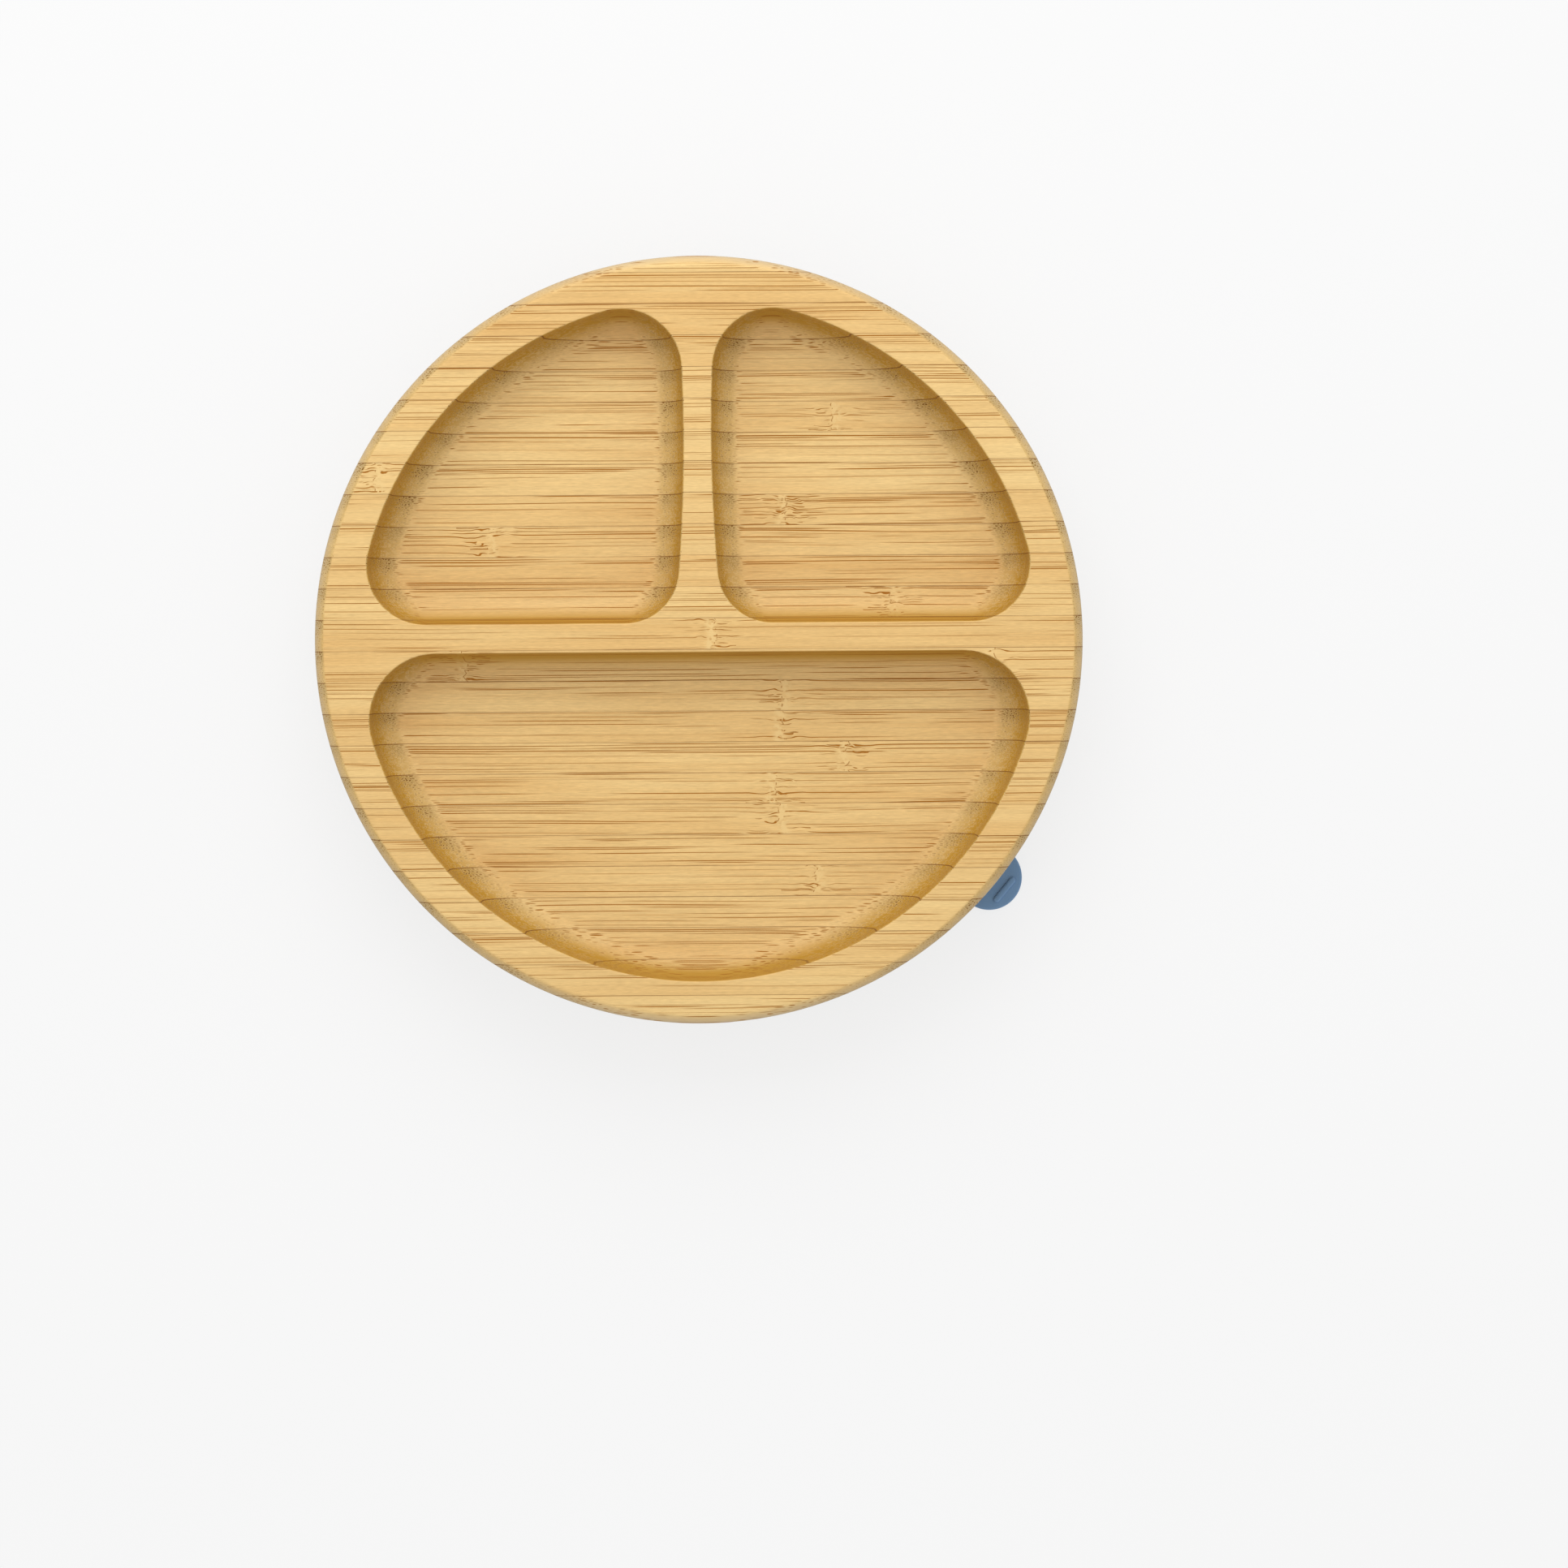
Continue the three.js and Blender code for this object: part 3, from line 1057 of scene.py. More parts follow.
@dataclass(frozen=True)
class BambooGrain:
    """Node group for the wood of a bamboo strip. Its lengths are millimetres.

    Slopes are limits of the surface's normal, along the strips and upwards. Tones, shades and shares say
    how much a mark changes the colour, dips and bumps are shares of the relief, and each gloss adds to the
    roughness.
    """

    name: str = "bamboo_grain"
    knuckle_marks: Knuckles = Knuckles()
    bundle_marks: FibreBundles = FibreBundles()
    end_slope: Ramp = Ramp(0.08, 0.45)
    steep_slope: Ramp = Ramp(0.45, 0.97, 1.0, 0.0)
    clouds: Cells = Cells(60.0, 4.0, 9.0)
    fibres: Cells = Cells(16.0, 0.2, 0.2, detail=2.0)
    threads: Cells = Cells(40.0, 0.45, 0.45)
    flecks: Cells = Cells(2.0, 0.17, 0.17)
    least_tone: float = 0.14
    strip_tone: float = 0.42
    cloud_tone: float = 0.9
    fibre_shade: float = 0.24
    thread_shade: float = 0.2
    fleck_shade: float = 0.4
    # Paleness of the ring beside streaks, partly painted highlight
    streak_halo: float = 0.5
    patch_paleness: float = 0.8
    ends_share: float = 0.5
    ends_shade: Ramp = Ramp(0.4, 0.95, 1.08, 0.78)
    # Share of painted light on steep faces: painted shade on the walls, painted reflection on the outer edge
    side_share: float = 0.82
    # Where the outer edge's painted reflection and painted shade start
    edge_start: Ramp = Ramp(-0.5, 0.2)
    streak_fade: Ramp = Ramp(0.0, 0.5, 1.0, 0.3)
    slope_fade: Ramp = Ramp(0.7, 1.0, 1.0, 0.6)
    # Paleness of the ring round pores, partly painted highlight
    pore_halo: float = 0.6
    pore_noise: StripNoise = StripNoise(3.7, along=45.0)
    pore_runs: Ramp = Ramp(0.3, 0.6, 0.5, 1.0)
    pore_shades: Ramp = Ramp(0.0, 1.0, 0.25, 0.85)
    pore_crowds: Ramp = Ramp(0.5, 0.95, 0.65, 1.3)
    pore_start: Ramp = Ramp(0.0, 1.0, 0.6, 1.0)
    glue_fall: Ramp = Ramp(0.03, 0.15, 1.0, 0.0)
    glue_noise: StripNoise = StripNoise(7.3, along=35.0)
    glue_runs: Ramp = Ramp(0.25, 0.7, 0.2, 0.85)
    glue_on_ends: float = 0.9
    tick_strength: float = 0.8
    glue_dip: float = 0.5
    fibre_bump: float = 0.5
    patch_bump: float = 0.6
    gloss: float = 0.46
    bundle_gloss: float = 0.12
    ends_gloss: float = 0.1
    cloud_gloss: float = 0.16

    def build(self) -> None:
        """Makes the group."""
        inputs = {"Vector": SocketKind.VECTOR, "Normal": SocketKind.VECTOR, "Knuckle": SocketKind.VALUE}
        inputs |= STRIP_FACTS
        inputs |= dict.fromkeys(socket_titles(BambooCut).values(), SocketKind.VALUE)
        inputs |= dict.fromkeys(socket_titles(BambooTones).values(), SocketKind.COLOUR)
        outputs = {"Color": SocketKind.COLOUR, "Height": SocketKind.VALUE, "Roughness": SocketKind.VALUE}
        graph, given, sink = node_group(self.name, inputs, outputs)
        spot = self.spot(graph, given)
        knuckle = self.knuckle_marks.masks(spot)
        bundles = self.bundle_marks.masks(spot, knuckle)
        clouds = graph.cells(spot.place, self.clouds)
        fibres = graph.cells(spot.place, self.fibres)
        marks = Marks(knuckle, bundles, clouds, fibres)

        # Glue lines and a knuckle's ticks lie over the wood
        glue = graph.ramp(given["Glue Distance"], self.glue_fall)
        glue_share = graph.product(glue, self.glue_strength(spot))
        ticks = graph.product(knuckle.ticks, graph.minus(1.0, spot.end_grain))
        wood = graph.blend(glue_share, self.wood(spot, marks), given["Glue Line"])
        wood = graph.blend(graph.product(ticks, self.tick_strength), wood, given["Streak"])

        # Relief and gloss
        bundle_dips = graph.product(bundles.core, bundles.darkness)
        dips = graph.total(bundle_dips, graph.product(glue, self.glue_dip), ticks)
        patches = graph.product(knuckle.patch, self.patch_bump)
        bumps = graph.total(graph.swing(fibres, self.fibre_bump), patches)
        roughness = graph.total(
            self.gloss,
            graph.product(bundles.core, self.bundle_gloss),
            graph.product(spot.end_grain, self.ends_gloss),
            graph.swing(clouds, self.cloud_gloss),
        )
        graph.feed_all(sink, {"Color": wood, "Height": graph.minus(bumps, dips), "Roughness": roughness})

    def spot(self, graph: Graph, given: Mapping[str, Socket]) -> Spot:
        """Adds what is known of a spot of the wood.

        Args:
            graph: The group's graph.
            given: The group's inputs.

        Returns:
            The spot.
        """
        sockets = {"Vector": given["Vector"], "Scale": 1 / MM}
        in_mm = graph.node("ShaderNodeVectorMath", sockets, operation="SCALE")
        normal = graph.split(given["Normal"])
        return Spot(
            graph,
            given,
            place=graph.split(in_mm.outputs[0]),
            shares=graph.split_colour(given["Shares"]),
            end_grain=graph.ramp(graph.size(normal[0]), self.end_slope),
            steep=graph.ramp(graph.size(normal[2]), self.steep_slope),
        )

    def wood(self, spot: Spot, marks: Marks) -> Socket:
        """Adds the wood: streaks where the surface follows the fibres, and pores where it cuts across them.

        Args:
            spot: A spot of the wood.
            marks: What shows there.

        Returns:
            Its colour without glue lines.
        """
        graph, given = spot.graph, spot.given
        bundles = marks.bundles
        ground = self.ground(spot, marks)
        ends = graph.blend(graph.product(marks.fibres, self.ends_share), given["End Grain"], ground)
        ends = graph.shade(ends, graph.ramp(bundles.crowding, self.ends_shade))
        # Steep faces take painted light: painted shade and bounce light on the walls, a painted reflection on
        # the edge
        side = self.side(spot)
        side_share = graph.product(spot.steep, self.side_share)
        fading = graph.ramp(spot.end_grain, self.streak_fade)
        streak_share = graph.product(bundles.core, bundles.darkness, given["Streak Strength"], fading)
        long_grain = graph.blend(streak_share, graph.blend(side_share, ground, side), given["Streak"])
        on_slope = graph.ramp(spot.steep, self.slope_fade)
        # A pale ring round the pores: partly pale tissue, partly a painted highlight
        tissue_and_highlight_share = graph.product(bundles.halo, on_slope, self.pore_halo)
        ends = graph.blend(tissue_and_highlight_share, graph.blend(side_share, ends, side), given["Honey"])
        pore_share = graph.product(
            bundles.core,
            graph.ramp(bundles.darkness, self.pore_shades),
            graph.ramp(bundles.crowding, self.pore_crowds),
            graph.ramp(spot.noise(self.pore_noise), self.pore_runs),
            graph.ramp(spot.end_grain, self.pore_start),
            on_slope,
        )
        return graph.blend(spot.end_grain, long_grain, graph.blend(pore_share, ends, given["Pore"]))

    def ground(self, spot: Spot, marks: Marks) -> Socket:
        """Adds the wood between the bundles: a tone for each strip, with slow clouds and fine fibres in it.

        Args:
            spot: A spot of the wood.
            marks: What shows there.

        Returns:
            Its colour on long grain.
        """
        graph, given = spot.graph, spot.given
        strip_tone = graph.product(spot.shares[0], self.strip_tone)
        tone = graph.total(self.least_tone, strip_tone, graph.swing(marks.clouds, self.cloud_tone))
        unevenness = graph.total(
            graph.swing(marks.fibres, self.fibre_shade),
            graph.swing(graph.cells(spot.place, self.threads), self.thread_shade),
            graph.swing(graph.cells(spot.place, self.flecks), self.fleck_shade),
        )
        plain = graph.blend(tone, given["Honey"], given["Tan"])
        uneven = graph.shade(plain, graph.total(1.0, unevenness))
        # A pale ring beside the streaks, partly pale tissue and partly painted highlight, and pale knuckle
        # patches
        halo = graph.product(marks.bundles.halo, marks.bundles.darkness, self.streak_halo)
        pale = graph.total(halo, graph.product(marks.knuckle.patch, self.patch_paleness))
        return graph.blend(pale, uneven, given["Honey"])

    def side(self, spot: Spot) -> Socket:
        """Adds the colour of steep faces, which is painted light: painted shade and bounce light on the
        walls, and a greyer painted reflection with painted shade on the outer edge.

        Args:
            spot: A spot of the wood.

        Returns:
            The colour.
        """
        graph, given = spot.graph, spot.given
        # Past the edge radius, the outer edge's painted reflection and painted shade replace the walls'
        # painted shade
        x, y, _ = spot.place
        radius = graph.math("SQRT", graph.total(graph.product(x, x), graph.product(y, y)))
        past_edge = graph.minus(radius, given["Edge Radius"])
        return graph.blend(graph.ramp(past_edge, self.edge_start), given["Wall"], given["Edge"])

    def glue_strength(self, spot: Spot) -> Socket:
        """Adds how dark a glue line is: it comes and goes on long grain, and stays dark on end grain.

        Args:
            spot: A spot of the wood.

        Returns:
            The strength, from 0 to 1.
        """
        on_long_grain = spot.graph.ramp(spot.noise(self.glue_noise), self.glue_runs)
        on_ends = spot.graph.product(spot.end_grain, self.glue_on_ends)
        return spot.graph.math("MAXIMUM", on_long_grain, on_ends)


@dataclass(frozen=True)
class BambooFinish:
    """Oiled bamboo. Its lengths are millimetres, as in its node groups.

    Attributes:
        name: Name of the material.
        strip_width: Width of a strip.
        first_seam: Where the first strip starts.
        strip_count: Number of strips.
        knuckles: Sets of knuckles, each with one for a strip at most, as places along X by strip from 0.
        cut: How the bamboo is grown and cut.
        tones: Its colours.
        relief: Depth of the grain.
        relief_strength: How strongly it shows.
        oil_gloss: How much the oil reflects.
        far_out: Where a strip without a knuckle has it, off the plate.
    """

    name: str
    strip_width: float
    first_seam: float
    strip_count: int
    knuckles: Sequence[Mapping[int, float]]
    cut: BambooCut
    tones: BambooTones
    relief: float = 0.08
    relief_strength: float = 0.8
    oil_gloss: float = 0.15
    far_out: float = 120.0

    def material(self) -> bpy.types.Material:
        """Makes the material.

        Returns:
            The material.
        """
        material, graph, shader = new_material(self.name)
        place = graph.node("ShaderNodeTexCoord").outputs
        layout = use_group(graph, StripLayout.name, {
            "Vector": place["Object"],
            "Strip Width": self.strip_width,
            "First Seam": self.first_seam,
        })
        sockets = {
            "Vector": place["Object"],
            "Normal": place["Normal"],
            "Knuckle": self.knuckle_distance(graph, place["Object"], layout["Strip"]),
        }
        sockets |= {title: layout[title] for title in STRIP_FACTS}
        for kind in (self.cut, self.tones):
            sockets |= {title: getattr(kind, name) for name, title in socket_titles(type(kind)).items()}
        grain = use_group(graph, BambooGrain.name, sockets)
        graph.feed_all(shader, {
            "Base Color": grain["Color"],
            "Roughness": grain["Roughness"],
            "Normal": graph.bump(grain["Height"], self.relief_strength, self.relief * MM),
            "Specular IOR Level": self.oil_gloss,
        })
        return material

    def knuckle_distance(self, graph: Graph, place: Socket, strip: Socket) -> Socket:
        """Adds the distance along X to the nearest knuckle of the strip, in millimetres.

        Args:
            graph: The material's graph.
            place: Object coordinates.
            strip: Number of the strip.

        Returns:
            The distance, negative on the knuckle's left.
        """
        x = graph.over(graph.split(place)[0], MM)
        share = graph.over(graph.total(strip, 0.5), self.strip_count)
        distances = [graph.minus(x, self.knuckle_place(graph, share, places)) for places in self.knuckles]
        nearest = distances[0]
        for distance in distances[1:]:
            is_nearer = graph.math("LESS_THAN", graph.size(distance), graph.size(nearest))
            nearest = graph.total(nearest, graph.product(graph.minus(distance, nearest), is_nearer))
        return nearest

    def knuckle_place(self, graph: Graph, share: Socket, places: Mapping[int, float]) -> Socket:
        """Adds a step for each strip that gives where its knuckle is along X.

        Args:
            graph: The material's graph.
            share: Number of the strip, as a share of all strips.
            places: Places by strip number.

        Returns:
            The place in millimetres.
        """
        steps = graph.node("ShaderNodeValToRGB", {"Fac": share})
        stops = steps.color_ramp
        stops.interpolation = "CONSTANT"
        while len(stops.elements) < self.strip_count:
            stops.elements.new(1.0)
        for i, stop in enumerate(stops.elements):
            stop.position = i / self.strip_count
            grey = places.get(i, self.far_out) / (2 * self.far_out) + 0.5
            stop.color = (grey, grey, grey, 1.0)
        return graph.swing(graph.split_colour(steps.outputs["Color"])[0], 2 * self.far_out)


@dataclass(frozen=True)
class SurfaceMottle:
    """Node group for fine unevenness: a soft cloud and a fine grain, both from 0 to 1."""

    name: str = "surface_mottle"
    cloud_detail: float = 3.0
    grain_detail: float = 2.0

    def build(self) -> None:
        """Makes the group."""
        inputs = {
            "Vector": SocketKind.VECTOR,
            "Cloud Size": SocketKind.VALUE,
            "Grain Size": SocketKind.VALUE,
        }
        outputs = {"Cloud": SocketKind.VALUE, "Grain": SocketKind.VALUE}
        graph, given, sink = node_group(self.name, inputs, outputs)
        for title, detail in zip(outputs, (self.cloud_detail, self.grain_detail)):
            scale = graph.over(1.0, given[f"{title} Size"])
            sockets = {"Vector": given["Vector"], "Scale": scale, "Detail": detail}
            graph.feed(sink.inputs[title], graph.node("ShaderNodeTexNoise", sockets).outputs[0])

    @classmethod
    def use(cls, graph: Graph, cloud_size: float, grain_size: float) -> Mapping[str, Socket]:
        """Places the group in a material, on the piece's own coordinates.

        Args:
            graph: The material's graph.
            cloud_size: Size of the clouds.
            grain_size: Size of the fine grain.

        Returns:
            The group's outputs by name.
        """
        place = graph.node("ShaderNodeTexCoord").outputs["Object"]
        sockets = {"Vector": place, "Cloud Size": cloud_size, "Grain Size": grain_size}
        return use_group(graph, cls.name, sockets)


@dataclass(frozen=True)
class SiliconeFinish:
    """Matt moulded silicone: clouds between two tones, and the mould's fine grain."""

    name: str
    light: Colour
    dark: Colour
    cloud_size: float = 9 * MM
    grain_size: float = 0.35 * MM
    grain_depth: float = 0.02 * MM
    grain_strength: float = 0.5
    roughness: Ramp = Ramp(0.2, 0.8, 0.5, 0.62)
    refraction: float = 1.42
    sheen: float = 0.12
    sheen_roughness: float = 0.5

    def material(self) -> bpy.types.Material:
        """Makes the material.

        Returns:
            The material.
        """
        material, graph, shader = new_material(self.name)
        mottle = SurfaceMottle.use(graph, self.cloud_size, self.grain_size)
        graph.feed_all(shader, {
            "Base Color": graph.blend(mottle["Cloud"], self.dark, self.light),
            "Roughness": graph.ramp(mottle["Cloud"], self.roughness),
            "Normal": graph.bump(mottle["Grain"], self.grain_strength, self.grain_depth),
            "IOR": self.refraction,
            "Sheen Weight": self.sheen,
            "Sheen Roughness": self.sheen_roughness,
        })
        return material


@dataclass(frozen=True)
class SteelFinish:
    """Dull steel of a small nail, stained in small clouds."""

    name: str
    bright: Colour
    dark: Colour
    cloud_size: float = 0.8 * MM
    grain_size: float = 0.1 * MM
    roughness: Ramp = Ramp(0.3, 0.7, 0.35, 0.55)

    def material(self) -> bpy.types.Material:
        """Makes the material.

        Returns:
            The material.
        """
        material, graph, shader = new_material(self.name)
        mottle = SurfaceMottle.use(graph, self.cloud_size, self.grain_size)
        graph.feed_all(shader, {
            "Base Color": graph.blend(mottle["Cloud"], self.dark, self.bright),
            "Roughness": graph.ramp(mottle["Grain"], self.roughness),
            "Metallic": 1.0,
        })
        return material


# Sub-assemblies


@dataclass
class BambooBoard:
    """The board: one smooth mesh over the CAD strips, with three routed pockets.

    Corners, fillets and rounds are radii, and divider_bow is the radius of the divider's bowed sides.
    crossbar_back and divider_waist_back are places along Y. A profile of 0.5 is a full round and one of
    0.25 a straight chamfer. A flat margin keeps round edges from shading the flats.
    """

    rim_width: float = 9.8 * MM
    pocket_depth: float = 12 * MM
    floor_fillet: float = 7.2 * MM
    edge_round: float = 0.4 * MM
    top_round: float = 2.2 * MM
    top_profile: float = 0.33
    bottom_round: float = 3 * MM
    crossbar_back: float = 3.6 * MM
    crossbar_width: float = 6.2 * MM
    divider_waist: float = 6 * MM
    divider_waist_back: float = 48 * MM
    divider_bow: float = 400 * MM
    back_corner: float = 14.5 * MM
    inner_corner: float = 13 * MM
    outer_corner: float = 14 * MM
    wide_corner: float = 16 * MM
    outline_step: float = 1.1 * MM
    flat_margin: float = 0.4 * MM
    rim_segments: int = 256
    round_segments: int = 8
    edge_segments: int = 4
    fillet_segments: int = 10
    strip_nodes: tuple[str, ...] = tuple(f"bamboo_strip_{i:02d}" for i in range(1, 26))

    def __post_init__(self) -> None:
        """Takes the board's radius and levels from its middle strip, and the pitch from the first ones."""
        low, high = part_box(self.strip_nodes[len(self.strip_nodes) // 2])
        first, second, third = (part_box(node) for node in self.strip_nodes[:3])
        self.radius = high[0]
        self.bottom = low[2]
        self.top = high[2]
        self.pocket_radius = self.radius - self.rim_width
        self.pitch = third[0][1] - second[0][1]
        self.front_seam = (first[1][1] + second[0][1]) / 2

    def finish(self) -> BambooFinish:
        """Chooses the board's bamboo, with its knuckles where the photograph has them.

        Returns:
            The finish.
        """
        left_and_middle = {4: 27.5, 6: 18.9, 7: 17.9, 8: 35.1, 9: 19.8, 10: 19.8, 11: -55.5, 12: 3.6}
        left_and_middle |= {13: 45.6, 15: -49.8, 16: 20.8, 17: -75.2, 19: 32.2}
        right = {11: 69.2}
        cut = BambooCut(
            bundle_gap=0.48,
            least_crowding=0.5,
            streak_strength=1.5,
            edge_radius=(self.radius - self.top_round) / MM,
        )
        tones = BambooTones(
            honey=screen_colour(225, 192, 131),
            tan=screen_colour(207, 161, 96),
            streak=screen_colour(162, 104, 30),
            end_grain=screen_colour(188, 154, 90),
            pore=screen_colour(124, 84, 22),
            glue_line=screen_colour(126, 80, 33),
            # The wall tone is painted shade and bounce light, darker and deeper than the wood
            wall=screen_colour(175, 129, 26),
            # The edge tone is a painted reflection of the pale surroundings, with painted shade
            edge=screen_colour(187, 168, 138),
        )
        return BambooFinish(
            name="board_bamboo",
            strip_width=self.pitch / MM,
            first_seam=(self.front_seam - self.pitch) / MM,
            strip_count=len(self.strip_nodes),
            knuckles=(left_and_middle, right),
            cut=cut,
            tones=tones,
        )

    def build(self) -> Piece:
        """Models the board, dresses it and lets it ride on the plate.

        Returns:
            The finished board.
        """
        right = self.carved_pocket("right_pocket", self.small_pocket_arcs())
        left = self.mirrored_copy(right)
        wide = self.carved_pocket("wide_pocket", self.wide_pocket_arcs())
        board = self.turned_blank()
        join_all(board, (right, left, wide))
        edit(board)
        at_top = level(self.top)
        pick(board, SelectMode.EDGE, lambda edge: edge.is_boundary and at_top(edge))
        bpy.ops.mesh.fill(use_beauty=True)
        bpy.ops.mesh.select_mode(type=SelectMode.FACE.value)
        bpy.ops.mesh.inset(thickness=self.flat_margin, depth=0.0)
        close_up(board)
        dress(board, self.finish().material())
        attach(board, Body.PLATE.value)
        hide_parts(*self.strip_nodes)
        return board

    def turned_blank(self) -> Piece:
        """Models the board without its pockets: a disc with round edges and an open top.

        Returns:
            The blank.
        """
        blank = add_disc("bamboo_board", self.radius, self.bottom, self.top, self.rim_segments)
        edit(blank)
        round_edges(blank, self.top, self.top_round, self.round_segments, self.top_profile)
        round_edges(blank, self.bottom, self.bottom_round, self.round_segments)
        pick(blank, SelectMode.FACE, level(self.bottom))
        bpy.ops.mesh.inset(thickness=self.flat_margin, depth=0.0)
        pick(blank, SelectMode.FACE, level(self.top))
        bpy.ops.mesh.delete(type="ONLY_FACE")
        leave()
        return blank

    def corner_on_edge(self, radius: float, edge: float, side: int) -> Point:
        """Finds the centre of a corner inside the pocket circle.

        Args:
            radius: Radius of the corner.
            edge: Y of the straight edge that it touches.
            side: 1 where the pocket is behind that edge, or -1 where it is in front of it.

        Returns:
            The centre on the +X side.
        """
        y = edge + side * radius
        return (math.sqrt((self.pocket_radius - radius) ** 2 - y**2), y)

    def small_pocket_arcs(self) -> list[Arc]:
        """Works out the outline of the +X small pocket.

        Returns:
            Its arcs, counter-clockwise from the crossbar's outer end.
        """
        bow = (self.divider_waist / 2 + self.divider_bow, self.divider_waist_back)
        outer = self.corner_on_edge(self.outer_corner, self.crossbar_back, 1)

        # The inner corner touches the crossbar and the bowed divider
        inner_y = self.crossbar_back + self.inner_corner
        inner_reach = self.divider_bow - self.inner_corner
        inner = (bow[0] - math.sqrt(inner_reach**2 - (inner_y - bow[1]) ** 2), inner_y)

        # The back corner touches the pocket circle and the bowed divider
        rim_reach = self.pocket_radius - self.back_corner
        bow_reach = self.divider_bow - self.back_corner
        span = math.hypot(*bow)
        along = (rim_reach**2 - bow_reach**2 + span**2) / (2 * span)
        across = math.sqrt(rim_reach**2 - along**2)
        to_bow = (bow[0] / span, bow[1] / span)
        back = (to_bow[0] * along - to_bow[1] * across, to_bow[1] * along + to_bow[0] * across)

        stations = (
            (outer, self.outer_corner, -QUARTER_TURN),
            ((0.0, 0.0), self.pocket_radius, math.atan2(outer[1], outer[0])),
            (back, self.back_corner, math.atan2(back[1], back[0])),
            (bow, self.divider_bow, math.atan2(back[1] - bow[1], back[0] - bow[0])),
            (inner, self.inner_corner, math.atan2(inner[1] - bow[1], inner[0] - bow[0])),
        )
        return self.chained_arcs(stations, -QUARTER_TURN)

    def wide_pocket_arcs(self) -> list[Arc]:
        """Works out the outline of the wide pocket.

        Returns:
            Its arcs, counter-clockwise from its right corner.
        """
        right = self.corner_on_edge(self.wide_corner, self.crossbar_back - self.crossbar_width, -1)
        left = (-right[0], right[1])
        right_angle = math.atan2(right[1], right[0])
        stations = (
            (right, self.wide_corner, right_angle),
            (left, self.wide_corner, QUARTER_TURN),
            ((0.0, 0.0), self.pocket_radius, math.atan2(left[1], left[0])),
        )
        return self.chained_arcs(stations, right_angle)

    def chained_arcs(self, stations: Sequence[tuple[Point, float, float]], last: float) -> list[Arc]:
        """Chains arcs counter-clockwise.

        Args:
            stations: Centre, radius and first angle of each arc. It ends at the next one's first angle.
            last: Angle where the last arc ends.

        Returns:
            The arcs.
        """
        ends = [start for _, _, start in stations[1:]] + [last]
        return [
            Arc(centre, radius, start, (end - start) % FULL_TURN)
            for (centre, radius, start), end in zip(stations, ends)
        ]

    def carved_pocket(self, name: str, arcs: Sequence[Arc]) -> Piece:
        """Carves one pocket as an open shell: its outline is filled, then sunk ring by ring.

        Args:
            name: Name of the shell.
            arcs: Its outline.

        Returns:
            The shell, whose open edge lies on the board's top.
        """
        pen = Pen(name, Plane.PLAN, arcs[0].first_point(), self.outline_step)
        for arc in arcs:
            pen.arc(arc)
        pen.close_as_face(self.top)
        self.sink_rings(self.edge_round, self.edge_segments, math.sin, lambda angle: math.cos(angle) - 1)
        extrude_up(self.edge_round + self.floor_fillet - self.pocket_depth)
        self.sink_rings(
            self.floor_fillet,
            self.fillet_segments,
            lambda angle: 1 - math.cos(angle),
            lambda angle: -math.sin(angle),
        )
        bpy.ops.mesh.inset(thickness=self.flat_margin, depth=0.0)
        leave()
        return pen.piece

    def sink_rings(
        self,
        radius: float,
        steps: int,
        inwards: Callable[[float], float],
        upwards: Callable[[float], float],
    ) -> None:
        """Insets the selected face along a quarter round.

        Args:
            radius: Radius of the round.
            steps: Number of rings.
            inwards: Inset by angle, as a share of the radius.
            upwards: Height by angle, as a share of the radius.
        """
        angles = [QUARTER_TURN * i / steps for i in range(steps + 1)]
        for before, after in zip(angles, angles[1:]):
            bpy.ops.mesh.inset(
                thickness=radius * (inwards(after) - inwards(before)),
                depth=radius * (upwards(after) - upwards(before)),
            )

    def mirrored_copy(self, pocket: Piece) -> Piece:
        """Copies a pocket to the other side of the divider.

        Args:
            pocket: The pocket.

        Returns:
            The copy.
        """
        activate(pocket)
        bpy.ops.object.duplicate()
        copy = bpy.context.object
        copy.scale = (-1.0, 1.0, 1.0)
        bpy.ops.object.transform_apply(location=False, rotation=False, scale=True)
        return copy


